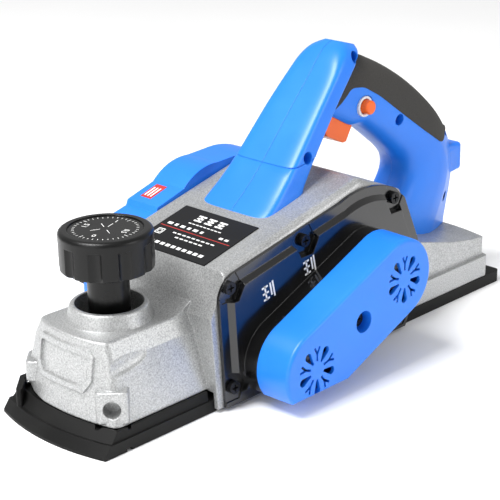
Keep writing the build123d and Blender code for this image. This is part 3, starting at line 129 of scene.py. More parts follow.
# ---- finishes -----------------------------------------------------------------------------------
@dataclass(frozen=True)
class Finish:
    """A surface finish: its colours, gloss and the size of its grain.

    Attributes:
        name: The material's name.
        low: Darker colour of its variation.
        high: Lighter colour of its variation.
        rough: Roughness in the smooth places.
        rough_span: How much rougher the worn places are.
        metallic: Share of metal in the surface.
        grain_mm: Size of the fine grain, in millimetres.
        bump_mm: Height of the grain, in millimetres.
        patch_mm: Size of the slow colour variation, in millimetres.
        speckle: Share of the fine grain in the colour, the rest being the slow patches.
        soft_mm: Radius that light sees on every edge, in millimetres.
        coat: Weight of a clear gloss layer.
        shine: How strongly the surface mirrors head on; 0.5 is a plain plastic.
    """

    name: str
    low: str
    high: str
    rough: float
    rough_span: float = 0.08
    metallic: float = 0.0
    grain_mm: float = 0.6
    bump_mm: float = 0.01
    patch_mm: float = 30.0
    speckle: float = 0.3
    soft_mm: float = 0.5
    coat: float = 0.0
    shine: float = 0.5

    def build(self) -> bpy.types.Material:
        """Makes the material, with grain and colour set out in Object coordinates.

        Returns:
            The material.
        """
        made = bpy.data.materials.new(self.name)
        made.use_nodes = True
        tree = made.node_tree
        tree.nodes.clear()
        place = add_node(tree, "TexCoord").outputs["Object"]
        patch = add_node(tree, "TexNoise", {"Vector": place, "Scale": 1 / (self.patch_mm * MM),
                                         "Detail": 4.0})
        grain = add_node(tree, "TexNoise", {"Vector": place, "Scale": 1 / (self.grain_mm * MM),
                                         "Detail": 2.0})
        fine = add_node(tree, "MapRange", {"Value": grain.outputs["Fac"], "From Min": GRAIN_BAND[0],
                                           "From Max": GRAIN_BAND[1]})
        slow = add_node(tree, "MapRange", {"Value": patch.outputs["Fac"], "From Min": PATCH_BAND[0],
                                           "From Max": PATCH_BAND[1]})
        share = add_node(tree, "Mix", {0: self.speckle, 2: slow.outputs[0], 3: fine.outputs[0]})
        colour = add_node(tree, "Mix", {0: share.outputs[0], 6: linear(self.low), 7: linear(self.high)},
                          data_type="RGBA")
        rough = add_node(tree, "MapRange", {"Value": patch.outputs["Fac"], "From Min": WEAR_BAND[0],
                                            "From Max": WEAR_BAND[1], "To Min": self.rough,
                                            "To Max": self.rough + self.rough_span})
        rounded = add_node(tree, "Bevel", {"Radius": self.soft_mm * MM}, samples=EDGE_SAMPLES)
        bump = add_node(tree, "Bump", {"Height": grain.outputs["Fac"], "Distance": self.bump_mm * MM,
                                       "Strength": 1.0, "Normal": rounded.outputs[0]})
        shader = add_node(tree, "BsdfPrincipled", {
            "Base Color": colour.outputs[2], "Roughness": rough.outputs[0], "Metallic": self.metallic,
            "Normal": bump.outputs[0], "Coat Weight": self.coat, "Coat Roughness": COAT_ROUGH,
            "Specular IOR Level": self.shine})
        add_node(tree, "OutputMaterial", {"Surface": shader.outputs[0]})
        return made


FINISHES = {
    # Cast aluminium under metallic silver paint: light grey, pebbled, with a coarse bright speckle.
    # Real flakes are finer than 0.1 mm, so they are drawn as coarse as they need to show.
    "cast_silver": Finish("silver_painted_cast_aluminium", "#8B8C8C", "#C6C7C7", 0.34, 0.12, 0.6, 0.8, 0.1,
                          40.0, 0.8, 0.9),
    # Machined casting with a black coating: dull, near black, greyer where rubbed.
    "sole_black": Finish("black_coated_aluminium", "#070707", "#141413", 0.5, 0.15, 0.0, 0.7, 0.02,
                         soft_mm=0.4, shine=0.2),
    # Gloss moulded black plastic: deep black with sharp highlights along its edges.
    "plate_black": Finish("gloss_black_abs", "#050506", "#0A0A0B", 0.16, 0.1, 0.0, 0.8, 0.004, soft_mm=0.8,
                          coat=0.5),
    # Satin moulded blue plastic: even, saturated, with a soft sheen.
    "blue_abs": Finish("satin_blue_abs", "#1272E2", "#1B7DEC", 0.33, 0.1, 0.0, 0.5, 0.006, 60.0,
                       soft_mm=0.7),
    # Soft moulded rubber: matt, slightly dusty dark grey.
    "soft_grip": Finish("dark_grey_tpe_rubber", "#262523", "#3A3835", 0.72, 0.15, 0.0, 0.6, 0.06,
                        speckle=0.6),
    # Plain moulded black plastic: satin, a little lighter than the gloss parts.
    "black_plastic": Finish("black_moulded_plastic", "#0B0B0B", "#141414", 0.42, 0.1, shine=0.3),
    # Compression-moulded phenolic: semi-gloss black with soft broad highlights.
    "knob_black": Finish("black_phenolic", "#040404", "#0A0A0A", 0.26, 0.1, 0.0, 0.5, 0.008, soft_mm=1.0,
                         shine=0.28),
    # Printed plate with a matt varnish: even near black that takes no sharp highlight.
    "label_black": Finish("printed_black_label", "#0B0B0C", "#131315", 0.5, 0.1, 0.0, 0.6, 0.004,
                          shine=0.25),
    # Moulded signal-orange plastic: warm, saturated, with a soft sheen.
    "orange_plastic": Finish("orange_moulded_plastic", "#E85A08", "#F2680F", 0.33, 0.1, 0.0, 0.5, 0.005,
                             soft_mm=0.8),
    # Drawn spring wire: plain grey metal, fairly bright.
    "spring_steel": Finish("drawn_spring_wire", "#8A8A8A", "#9A9A9A", 0.3, 0.1, 1.0),
    # Zinc-plated steel: pale metal, slightly uneven.
    "screw_steel": Finish("zinc_plated_steel", "#A6A6A2", "#C4C4C0", 0.3, 0.15, 1.0),
    # Blackened steel: dark metal with small bright glints.
    "screw_black": Finish("blackened_steel", "#1C1C1E", "#2B2B2D", 0.25, 0.15, 0.8),
    # Ground bearing steel: smooth bright grey metal.
    "bearing_steel": Finish("ground_bearing_steel", "#A0A0A2", "#B8B8BA", 0.25, 0.1, 1.0),
    # Ground tool steel: the brightest metal, with edges left sharp.
    "blade_steel": Finish("ground_tool_steel", "#B0B0B2", "#C6C6C8", 0.22, 0.12, 1.0, soft_mm=0.05),
    # Turned aluminium: pale, soft-looking bright metal.
    "drum_aluminium": Finish("turned_aluminium", "#B4B4B4", "#CCCCCC", 0.3, 0.1, 1.0),
    # Stacked electrical steel: dark dull metal.
    "lamination": Finish("stacked_electrical_steel", "#4A4A4D", "#606064", 0.4, 0.1, 0.9),
    # Varnished copper wire: warm red-brown metal.
    "copper": Finish("varnished_copper_wire", "#A65A2C", "#C9763F", 0.35, 0.1, 0.8),
    # Turned brass: yellow metal.
    "brass": Finish("turned_brass", "#B8923E", "#D0AC58", 0.3, 0.1, 1.0),
    # Pressed carbon: matt near black.
    "carbon": Finish("pressed_carbon", "#141414", "#222222", 0.6, 0.1),
    # Belt rubber: matt near black, slightly lighter in patches.
    "belt_rubber": Finish("ribbed_belt_rubber", "#121212", "#1C1C1C", 0.6, 0.1),
}
# Screen-printed ink: flat and matt, a little uneven.
MARK_WHITE = Finish("white_screen_print", "#DCDCDA", "#F0F0EE", 0.5, soft_mm=0.05)
MARK_RED = Finish("red_screen_print", "#A82823", "#B9312C", 0.5, soft_mm=0.05)
# Pale natural nylon of the button's guide ring.
PALE_NYLON = Finish("natural_nylon", "#D9DCE2", "#E8EAEE", 0.45, soft_mm=0.3)
# Matt painted floor: almost white, with the faintest slow unevenness.
PALE_FLOOR = Finish("pale_floor", "#FAFAFA", "#FDFDFD", 0.8, patch_mm=400, speckle=0.0)


class Palette:
    """Builds each finish once and hands out its material.

    Attributes:
        built: The materials made so far, by finish name.
    """

    def __init__(self) -> None:
        """Starts with nothing built."""
        self.built: dict[str, bpy.types.Material] = {}

    def get(self, finish: Finish) -> bpy.types.Material:
        """Gives the material of a finish, building it the first time.

        Args:
            finish: The finish wanted.

        Returns:
            Its material.
        """
        if finish.name not in self.built:
            self.built[finish.name] = finish.build()
        return self.built[finish.name]


PALETTE = Palette()


def dress_nodes(frame: dict) -> None:
    """Gives every CAD node the finish that its record's material slot names.
    """
    slots = {part["node"]: part["material_slot"] for part in frame["record"]["subparts"]}
    for name, obj in frame["nodes"].items():
        obj.data.materials.clear()
        obj.data.materials.append(PALETTE.get(FINISHES[slots[name]]))
        LOG.info("%s: %s", name, slots[name])


# ---- making pieces ------------------------------------------------------------------------------
def piece_from(bm: bmesh.types.BMesh, name: str, finish: Finish,
               smooth_deg: float = 32.0) -> bpy.types.Object:
    """Makes an object from a bmesh in millimetres, smooth but for its sharp edges.

    Args:
        bm: The mesh, which is freed.
        name: The piece's name.
        finish: The piece's finish.
        smooth_deg: Edges that turn by more than this stay sharp.

    Returns:
        The linked object, at the origin.
    """
    bmesh.ops.remove_doubles(bm, verts=bm.verts, dist=1e-4)
    bmesh.ops.recalc_face_normals(bm, faces=bm.faces)
    for face in bm.faces:
        face.smooth = True
    for edge in bm.edges:
        if len(edge.link_faces) == 2 and edge.calc_face_angle(0.0) > math.radians(smooth_deg):
            edge.smooth = False
    bmesh.ops.scale(bm, verts=bm.verts, vec=(MM, MM, MM))
    mesh = bpy.data.meshes.new(name)
    bm.to_mesh(mesh)
    bm.free()
    obj = bpy.data.objects.new(name, mesh)
    bpy.context.collection.objects.link(obj)
    mesh.materials.append(PALETTE.get(finish))
    return obj


def mount(obj: bpy.types.Object, body: str, slot: str, *nodes: str) -> None:
    """Makes a finished piece ride on its body and stand for the nodes it replaces.

    Args:
        obj: The piece.
        body: The CAD body it rides on.
        slot: The record's material slot; not used.
        nodes: CAD nodes that it stands for.
    """
    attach(obj, body)
    if nodes:
        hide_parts(*nodes)
    LOG.info("%s rides on %s", obj.name, body)


def soften(bm: bmesh.types.BMesh, parts: list, radius: float, segments: int, affect: str = "EDGES") -> None:
    """Rounds edges or corners.

    Args:
        bm: The mesh.
        parts: The edges or vertices to round.
        radius: Radius of the rounding.
        segments: Faces across the rounding.
        affect: "EDGES" or "VERTICES".
    """
    bmesh.ops.bevel(bm, geom=parts, offset=radius, affect=affect, segments=segments, profile=0.5,
                    material=-1)


def prism(outline: tuple[Flat, ...], low: float, high: float, corner: float = 0.0) -> bmesh.types.BMesh:
    """A solid whose side view is an outline in XZ.

    Args:
        outline: Corners of the side view, in order.
        low: Least y.
        high: Greatest y.
        corner: Radius of the outline's corners.

    Returns:
        The solid.
    """
    bm = bmesh.new()
    face = bm.faces.new([bm.verts.new((x, low, z)) for x, z in outline])
    if corner:
        soften(bm, bm.verts[:], corner, 6, "VERTICES")
        face = bm.faces[:][0]
    grown = bmesh.ops.extrude_face_region(bm, geom=[face])
    moved = [item for item in grown["geom"] if isinstance(item, bmesh.types.BMVert)]
    bmesh.ops.translate(bm, verts=moved, vec=(0, high - low, 0))
    bmesh.ops.recalc_face_normals(bm, faces=bm.faces)
    return bm


def bar_y(x: float, z: float, low: float, high: float, radius: float) -> bmesh.types.BMesh:
    """A round bar along Y.

    Args:
        x: Its axis in x.
        z: Its axis in z.
        low: Least y.
        high: Greatest y.
        radius: Its radius.

    Returns:
        The solid.
    """
    bm = bmesh.new()
    turn = Matrix.Translation((x, (low + high) / 2, z)) @ Matrix.Rotation(math.pi / 2, 4, "X")
    bmesh.ops.create_cone(bm, cap_ends=True, segments=40, radius1=radius, radius2=radius, depth=high - low,
                          matrix=turn)
    return bm


def carve(solid: bmesh.types.BMesh, cutter: bmesh.types.BMesh, cut: Cut) -> bmesh.types.BMesh:
    """Cuts one closed solid with another, or joins them.

    Args:
        solid: What is cut; it is freed.
        cutter: What cuts; it is freed.
        cut: What is done with the cutter's space.

    Returns:
        The result.
    """
    holders = []
    for bm in (solid, cutter):
        mesh = bpy.data.meshes.new("working")
        bm.to_mesh(mesh)
        bm.free()
        obj = bpy.data.objects.new("working", mesh)
        bpy.context.collection.objects.link(obj)
        holders.append(obj)
    modifier = holders[0].modifiers.new("cut", "BOOLEAN")
    modifier.object = holders[1]
    modifier.operation = cut.value
    modifier.solver = "EXACT"
    graph = bpy.context.evaluated_depsgraph_get()
    graph.update()
    mesh = holders[0].evaluated_get(graph).to_mesh()
    made = bmesh.new()
    made.from_mesh(mesh)
    for obj in holders:
        data = obj.data
        bpy.data.objects.remove(obj)
        bpy.data.meshes.remove(data)
    return made


@dataclass(frozen=True)
class Ring:
    """One cross-section of a lofted body, in a plane that holds the Y axis.

    Attributes:
        outer: Its point on the outer (upper or front) side, in x and z.
        inner: Its point on the inner side.
        half: Half its width along y.
        square: How square its corners are: 2 is an ellipse.
        tail: How much it narrows towards its outer point, from 0 to 1.
    """

    outer: Flat
    inner: Flat
    half: float
    square: float = 2.6
    tail: float = 0.0

    def grown(self, by: float) -> Ring:
        """The same section, larger all round.

        Args:
            by: The distance it grows by.

        Returns:
            The larger section.
        """
        across = Vector(self.outer) - Vector(self.inner)
        step = across.normalized() * by
        return Ring(tuple(Vector(self.outer) + step), tuple(Vector(self.inner) - step), self.half + by,
                    self.square, self.tail)

    def moved(self, shift: Vector) -> Ring:
        """The same section, shifted in x and z."""
        return Ring(tuple(Vector(self.outer) + shift), tuple(Vector(self.inner) + shift), self.half,
                    self.square, self.tail)


def loft(rings: list[Ring], segments: int = 72) -> bmesh.types.BMesh:
    """Skins a row of sections into a closed body.

    Args:
        rings: The sections, in order.
        segments: Points round each section.

    Returns:
        The closed body.
    """
    bm = bmesh.new()
    loops = []
    for ring in rings:
        made = bmesh.ops.create_circle(bm, cap_ends=False, segments=segments, radius=1.0)
        verts = made["verts"]
        middle = (Vector(ring.outer) + Vector(ring.inner)) / 2
        reach = (Vector(ring.outer) - Vector(ring.inner)) / 2
        for vert in verts:
            along, across = vert.co.x, vert.co.y
            power = 2 / ring.square
            along = math.copysign(abs(along) ** power, along)
            across = math.copysign(abs(across) ** power, across)
            if along > TAIL_START:
                across *= 1 - ring.tail * TAIL_SHARE * (along - TAIL_START) / (1 - TAIL_START)
            vert.co = Vector((middle.x + reach.x * along, ring.half * across, middle.y + reach.y * along))
        loops.append([edge for edge in bm.edges if all(v in verts for v in edge.verts)])
    for near, far in zip(loops, loops[1:]):
        bmesh.ops.bridge_loops(bm, edges=near + far)
    for loop in (loops[0], loops[-1]):
        bmesh.ops.edgeloop_fill(bm, edges=loop)
    bmesh.ops.recalc_face_normals(bm, faces=bm.faces)
    return bm


def smoothed(rings: tuple[Ring, ...]) -> list[Ring]:
    """Adds sections between the given ones on a smooth curve through them.

    Args:
        rings: The sections that set the shape.

    Returns:
        The fuller row of sections.
    """
    rows = [list(r.outer) + list(r.inner) + [r.half, r.square, r.tail] for r in rings]
    made = []
    for k in range(len(rows) - 1):
        a, b = rows[max(k - 1, 0)], rows[k]
        c, d = rows[k + 1], rows[min(k + 2, len(rows) - 1)]
        for n in range(STEPS):
            t = n / STEPS
            point = [0.5 * (2 * q + (r - p) * t + (2 * p - 5 * q + 4 * r - s) * t * t
                            + (3 * q - p - 3 * r + s) * t ** 3) for p, q, r, s in zip(a, b, c, d)]
            made.append(Ring((point[0], point[1]), (point[2], point[3]), *point[4:]))
    made.append(rings[-1])
    return made


def half_of(solid: bmesh.types.BMesh, side: int, gap: float) -> bmesh.types.BMesh:
    """Keeps one side of the middle plane and closes the cut.

    Args:
        solid: A closed body, left as it is.
        side: -1 for the near half, 1 for the far half.
        gap: Distance of the cut from the middle plane.

    Returns:
        The half body.
    """
    bm = solid.copy()
    cut = bmesh.ops.bisect_plane(bm, geom=bm.verts[:] + bm.edges[:] + bm.faces[:],
                                 plane_co=(0, side * gap, 0), plane_no=(0, -side, 0), clear_outer=True)
    rim = [item for item in cut["geom_cut"] if isinstance(item, bmesh.types.BMEdge)]
    bmesh.ops.holes_fill(bm, edges=rim, sides=0)
    return bm


def joined(first: bmesh.types.BMesh, second: bmesh.types.BMesh) -> bmesh.types.BMesh:
    """Puts two bodies in one mesh.

    Args:
        first: The mesh that takes both.
        second: The other body, which is freed.

    Returns:
        The first mesh, with both.
    """
    mesh = bpy.data.meshes.new("working")
    second.to_mesh(mesh)
    second.free()
    first.from_mesh(mesh)
    bpy.data.meshes.remove(mesh)
    return first


# ---- handle -------------------------------------------------------------------------------------
@dataclass
class Handle:
    """The two moulded halves of the handle, and the soft grip over its top.

    Attributes:
        post: Sections of the leaning front post, from its foot up.
        grip: Sections of the grip and its rear leg, from inside the post to the foot.
        split: Half the gap between the left and right halves.
        groove_at: Index of the post section that carries the moulded groove.
        groove_deep: Depth of the groove.
        groove_unit: Length along the post that the groove's widths are counted in.
        groove_lip: Half the groove's width at its lip, in units.
        groove_floor: Half the groove's width at its floor, in units.
        screw_r: Radius of the screw recesses.
        post_screws: Places of the recesses in the post, in x and z.
        post_screw_floor: The y of their floors.
        grip_screws: Places of the recesses in the grip and leg, in x and z.
        grip_screw_floor: The y of their floors.
        boss: Side view of the block round the cord bush.
        boss_half: Half its width.
        boss_corner: Radius of its corners and edges.
        bush_at: Place of the cord bush's bore, in x and z.
        bush_r: Radius of that bore.
        bush_reach: Half its length.
        slot: Side view of the trigger's slot.
        slot_half: Half its width.
        button: Place of the lock button, in x and z.
        recess_r: Radius of the recess that holds the guide ring.
        recess_floor: The y of its floor.
        bore_r: Radius of the lock button's bore.
        bore_floor: The y of its floor.
        ring_span: Least and greatest y of the guide ring.
        ring_r: Its outer radius.
        ring_bore: Its inner radius.
        ring_cut: Least and greatest y of the bar that bores it.
        ring_edge: Radius of its rounded edges.
        pad_outline: Side view of what the soft grip covers.
        pad_proud: How far the soft grip stands out of the moulding.
        pad_reach: Half the width of the solid that cuts it out.
        pad_corner: Radius of its outline's corners.
    """

    post: tuple[Ring, ...] = (
        Ring((-99.0, 85.5), (-58.5, 88.0), 26.3, 6.0),
        Ring((-95.6, 89.5), (-60.0, 98.0), 26.0, 6.0),
        Ring((-84.5, 98.3), (-55.5, 104.8), 24.7, 6.0),
        Ring((-70.5, 111.5), (-48.0, 114.5), 23.3, 6.0),
        Ring((-47.0, 137.5), (-28.0, 138.5), 20.8, 6.0),
        Ring((-30.5, 155.0), (-13.5, 153.0), 18.6, 5.5),
        Ring((-23.5, 163.5), (-5.0, 160.0), 16.6, 4.5),
        Ring((-17.5, 168.8), (0.0, 164.6), 13.4, 3.6),
        Ring((-11.0, 171.6), (2.0, 167.6), 8.0, 3.0),
    )
    grip: tuple[Ring, ...] = (
        Ring((-10.0, 160.0), (-31.0, 131.0), 11.5),
        Ring((3.0, 161.6), (-17.0, 124.4), 13.8),
        Ring((15.5, 156.8), (-6.0, 119.4), 15.4),
        Ring((30.0, 149.4), (4.0, 118.6), 16.2),
        Ring((45.5, 139.8), (15.0, 111.6), 16.6),
        Ring((60.0, 129.0), (26.0, 103.2), 16.8),
        Ring((74.0, 116.2), (36.5, 95.0), 17.0, 2.7),
        Ring((87.0, 102.2), (43.5, 87.0), 17.0, 2.9, 0.3),
        Ring((98.0, 88.5), (44.0, 78.5), 17.0, 3.2, 0.75),
        Ring((103.6, 76.0), (39.5, 71.0), 17.0, 3.5, 1.0),
        Ring((103.2, 64.0), (32.0, 62.0), 17.0, 3.8, 1.0),
        Ring((100.2, 50.0), (20.0, 50.0), 16.8, 4.0, 1.0),
        Ring((97.5, 38.0), (10.0, 44.0), 16.6, 4.0, 1.0),
        Ring((96.8, 33.0), (4.0, 40.0), 16.6, 4.0, 1.0),
    )
    split: float = 0.05
    groove_at: int = 3
    groove_deep: float = 0.5
    groove_unit: float = 0.35
    groove_lip: float = 1.4
    groove_floor: float = 0.9
    screw_r: float = 3.5
    post_screws: tuple[Flat, ...] = ((-8.6, 163.0), (-57.1, 115.5))
    post_screw_floor: float = -6.0
    grip_screws: tuple[Flat, ...] = ((31.5, 118.0), (84.5, 99.0), (85.5, 55.0))
    grip_screw_floor: float = -5.0
    boss: tuple[Flat, ...] = ((84.0, 67.4), (104.2, 69.0), (104.2, 87.0), (84.0, 88.6))
    boss_half: float = 9.6
    boss_corner: float = 2.5
    bush_at: Flat = (100.0, 78.0)
    bush_r: float = 8.9
    bush_reach: float = 12.0
    slot: tuple[Flat, ...] = ((-26.7, 105.0), (-2.0, 105.0), (-2.0, 132.6), (-14.0, 138.6), (-26.7, 138.6))
    slot_half: float = 8.5
    button: Flat = (1.4, 132.0)
    recess_r: float = 6.6
    recess_floor: float = -13.6
    bore_r: float = 4.5
    bore_floor: float = -4.0
    ring_span: Flat = (-15.4, -13.2)
    ring_r: float = 6.2
    ring_bore: float = 4.6
    ring_cut: Flat = (-20.0, -10.0)
    ring_edge: float = 0.4
    pad_outline: tuple[Flat, ...] = (
        (-40.0, 118.0), (-16.5, 137.5), (-9.0, 144.8), (0.5, 143.8), (13.0, 136.5), (33.5, 121.6),
        (55.0, 106.5), (72.0, 95.2), (77.0, 95.0), (86.0, 104.0), (110.0, 130.0), (60.0, 180.0),
        (-40.0, 180.0))
    pad_proud: float = 0.35
    pad_reach: float = 30.0
    pad_corner: float = 2.5

    def screwed(self, body: bmesh.types.BMesh, places: tuple[Flat, ...], floor: float) -> bmesh.types.BMesh:
        """Cuts screw recesses from the near side.

        Args:
            body: What is cut; it is freed.
            places: The recesses, in x and z.
            floor: The y of their floors.

        Returns:
            The cut body.
        """
        for x, z in places:
            body = carve(body, bar_y(x, z, NEAR_OUT, floor, self.screw_r), Cut.AWAY)
        return body

    def post_body(self) -> bmesh.types.BMesh:
        """The post with its groove and screw recesses.

        Returns:
            The closed post.
        """
        rings = smoothed(self.post)
        at = self.groove_at * STEPS
        lip, floor = rings[at], rings[at].grown(-self.groove_deep)
        unit = (Vector(lip.outer) - Vector(rings[at - 1].outer)).normalized() * self.groove_unit
        rings[at:at + 1] = [lip.moved(unit * -self.groove_lip), floor.moved(unit * -self.groove_floor),
                            floor.moved(unit * self.groove_floor), lip.moved(unit * self.groove_lip)]
        return self.screwed(loft(rings, 96), self.post_screws, self.post_screw_floor)

    def grip_body(self) -> bmesh.types.BMesh:
        """The grip and leg with screw recesses, the trigger's slot and the button's recess.

        Returns:
            The closed grip.
        """
        body = loft(smoothed(self.grip))
        boss = prism(self.boss, -self.boss_half, self.boss_half, self.boss_corner)
        rim = [edge for edge in boss.edges if abs(edge.verts[0].co.y - edge.verts[1].co.y) < LEVEL]
        soften(boss, rim, self.boss_corner, 4)
        body = carve(body, boss, Cut.ADD)
        bush = bar_y(0, 0, -self.bush_reach, self.bush_reach, self.bush_r)
        x, z = self.bush_at
        turn = Matrix.Translation((x, 0, z)) @ Matrix.Rotation(math.pi / 2, 4, "Z")
        bmesh.ops.transform(bush, matrix=turn, verts=bush.verts)
        body = carve(body, bush, Cut.AWAY)
        body = self.screwed(body, self.grip_screws, self.grip_screw_floor)
        body = carve(body, prism(self.slot, -self.slot_half, self.slot_half), Cut.AWAY)
        x, z = self.button
        body = carve(body, bar_y(x, z, NEAR_OUT, self.recess_floor, self.recess_r), Cut.AWAY)
        return carve(body, bar_y(x, z, NEAR_OUT, self.bore_floor, self.bore_r), Cut.AWAY)

    def pads(self) -> bmesh.types.BMesh:
        """The soft skin over the grip's top, a little proud of the moulding.

        Returns:
            The closed skin.
        """
        skin = loft([ring.grown(self.pad_proud) for ring in smoothed(self.grip)])
        cutter = prism(self.pad_outline, -self.pad_reach, self.pad_reach, self.pad_corner)
        return carve(skin, cutter, Cut.KEEP)

    def button_ring(self) -> bmesh.types.BMesh:
        """The pale guide ring round the lock button.

        Returns:
            The ring.
        """
        x, z = self.button
        ring = bar_y(x, z, *self.ring_span, self.ring_r)
        ring = carve(ring, bar_y(x, z, *self.ring_cut, self.ring_bore), Cut.AWAY)
        rim = [edge for edge in ring.edges if edge.calc_face_angle(0.0) > RIM_TURN]
        soften(ring, rim, self.ring_edge, 2)
        return ring

    def build(self) -> None:
        """Makes the halves, the pads and the guide ring, and mounts them."""
        post, grip, skin = self.post_body(), self.grip_body(), self.pads()
        for side, name in ((-1, "left"), (1, "right")):
            shell = joined(half_of(post, side, self.split), half_of(grip, side, self.split))
            mount(piece_from(shell, "handle_shell_" + name, FINISHES["blue_abs"]), "root", "blue_abs",
                  "handle_" + name)
            pad = piece_from(half_of(skin, side, self.split), "soft_grip_" + name, FINISHES["soft_grip"])
            mount(pad, "root", "soft_grip", "grip_pad_" + name)
        mount(piece_from(self.button_ring(), "button_guide_ring", PALE_NYLON), "root", "blue_abs")
        for bm in (post, grip, skin):
            bm.free()


# ---- print --------------------------------------------------------------------------------------
@dataclass
class Print:
    """Flat marks laid on a face: bars, lines and frames.

    Attributes:
        name: The piece's name.
        place: Turns the face's plane, in millimetres, into the object's frame.
        finish: The ink.
        thick: How far the ink stands up.
    """

    name: str
    place: Matrix
    finish: Finish
    thick: float = 0.06

    def __post_init__(self) -> None:
        """Starts with no marks."""
        self.marks = bmesh.new()

    def bar(self, x: float, y: float, wide: float, high: float, turn: float = 0.0) -> None:
        """Lays one bar.

        Args:
            x: Its middle along the face.
            y: Its middle up the face.
            wide: Its length.
            high: Its height.
            turn: Its turn on the face, in radians.
        """
        where = Matrix.Translation((x, y, 0)) @ Matrix.Rotation(turn, 4, "Z")
        bmesh.ops.create_cube(self.marks, size=1.0,
                              matrix=where @ Matrix.Diagonal((wide, high, self.thick, 1)))

    def frame(self, x: float, y: float, wide: float, high: float, line: float) -> None:
        """Lays the outline of a rectangle.

        Args:
            x: Its middle along the face.
            y: Its middle up the face.
            wide: Its length.
            high: Its height.
            line: Width of its lines.
        """
        for sign in (-1, 1):
            self.bar(x, y + sign * high / 2, wide + line, line)
            self.bar(x + sign * wide / 2, y, line, high + line)

    def text(self, words: str, x: float, y: float, size: float, turn: float = 0.0) -> None:
        """Sets generic figures.

        Args:
            words: The figures.
            x: Their middle along the face.
            y: Their middle up the face.
            size: Their height.
            turn: Their turn on the face, in radians.
        """
        curve = bpy.data.curves.new("figures", "FONT")
        curve.body = words
        curve.size = size
        curve.align_x = "CENTER"
        curve.align_y = "CENTER"
        curve.extrude = self.thick / 2
        holder = bpy.data.objects.new("figures", curve)
        bpy.context.collection.objects.link(holder)
        graph = bpy.context.evaluated_depsgraph_get()
        mesh = bpy.data.meshes.new_from_object(holder.evaluated_get(graph))
        mesh.transform(Matrix.Translation((x, y, 0)) @ Matrix.Rotation(turn, 4, "Z"))
        self.marks.from_mesh(mesh)
        bpy.data.objects.remove(holder)
        bpy.data.curves.remove(curve)
        bpy.data.meshes.remove(mesh)

    def lay(self, body: str, slot: str) -> None:
        """Puts the marks in their place and mounts them.

        Args:
            body: The CAD body they ride on.
            slot: The record's material slot of the face below.
        """
        bmesh.ops.transform(self.marks, matrix=self.place, verts=self.marks.verts)
        mount(piece_from(self.marks, self.name, self.finish), body, slot)


@dataclass(frozen=True)
class Row:
    """A row of bars that stands for one line of writing.

    Attributes:
        start: Middle of its first bar along the face.
        level: Its middle up the face.
        pitch: Distance between the middles of its bars.
        high: Height of its bars.
        widths: Length of each bar.
    """

    start: float
    level: float
    pitch: float
    high: float
    widths: tuple[float, ...]

    def lay(self, ink: Print) -> None:
        """Lays the bars."""
        for k, wide in enumerate(self.widths):
            ink.bar(self.start + k * self.pitch, self.level, wide, self.high)


@dataclass
class NamePlate:
    """The label's plain white bars, its red line and its square sign.

    Attributes:
        middle: Middle of the label's top face.
        tilt_deg: How far the label leans back.
        blocks: First of the three bold blocks' middles, along and up the face.
        block_pitch: Distance between the blocks' middles.
        block_size: Size of a block.
        upper: Rows above the red line.
        sign: Middle of the square sign.
        sign_frames: Size and line width of the sign's squares.
        lower: Rows below the red line.
        line: Middle, length and width of the red line, up the face.
    """

    middle: Vec = (-123.6, 0.0, 82.97)
    tilt_deg: float = 13.7
    blocks: Flat = (-9.0, 13.2)
    block_pitch: float = 8.2
    block_size: float = 6.4
    upper: tuple[Row, ...] = (
        Row(-11.5, 7.4, 2.9, 0.7, (2.2,) * 9),
        Row(-22.5, 2.7, 5.0, 2.1, (3.6, 2.2, 3.2, 2.4, 3.4, 2.0)),
        Row(17.5, 2.7, 4.2, 1.7, (2.6,) * 2),
    )
    sign: Flat = (-22.0, -6.2)
    sign_frames: tuple[Flat, ...] = ((4.6, 0.55), (2.5, 0.4))
    lower: tuple[Row, ...] = (
        Row(-12.0, -4.2, 3.7, 1.0, (2.6,) * 9),
        Row(-7.0, -7.6, 3.7, 1.0, (2.6,) * 6),
        Row(-23.0, -15.6, 4.3, 2.3, (2.9,) * 11),
    )
    line: Vec = (-0.6, 54.0, 0.5)

    def build(self) -> None:
        """Prints the label; its reading direction runs from the far side to the near side."""
        lean = Matrix.Translation(self.middle) @ Matrix.Rotation(-math.radians(self.tilt_deg), 4, "Y")
        place = lean @ Matrix.Rotation(-math.pi / 2, 4, "Z")
        white = Print("label_print_white", place, MARK_WHITE)
        for k in range(3):
            self.glyph(white, self.blocks[0] + k * self.block_pitch, self.blocks[1], self.block_size)
        for row in self.upper:
            row.lay(white)
        for size, line in self.sign_frames:
            white.frame(*self.sign, size, size, line)
        for row in self.lower:
            row.lay(white)
        white.lay("root", "label_black")
        red = Print("label_print_red", place, MARK_RED)
        red.bar(0.0, *self.line)
        red.lay("root", "label_black")

    @staticmethod
    def glyph(ink: Print, x: float, y: float, size: float) -> None:
        """Lays one bold block of stacked bars that spells nothing.

        Args:
            ink: The print it is laid in.
            x: Its middle along the face.
            y: Its middle up the face.
            size: Its size.
        """
        for row in (-1, 0, 1):
            ink.bar(x, y + row * size * 0.36, size * (0.9 - 0.18 * (row == 0)), size * 0.2)
        ink.bar(x, y, size * 0.2, size * 0.9)


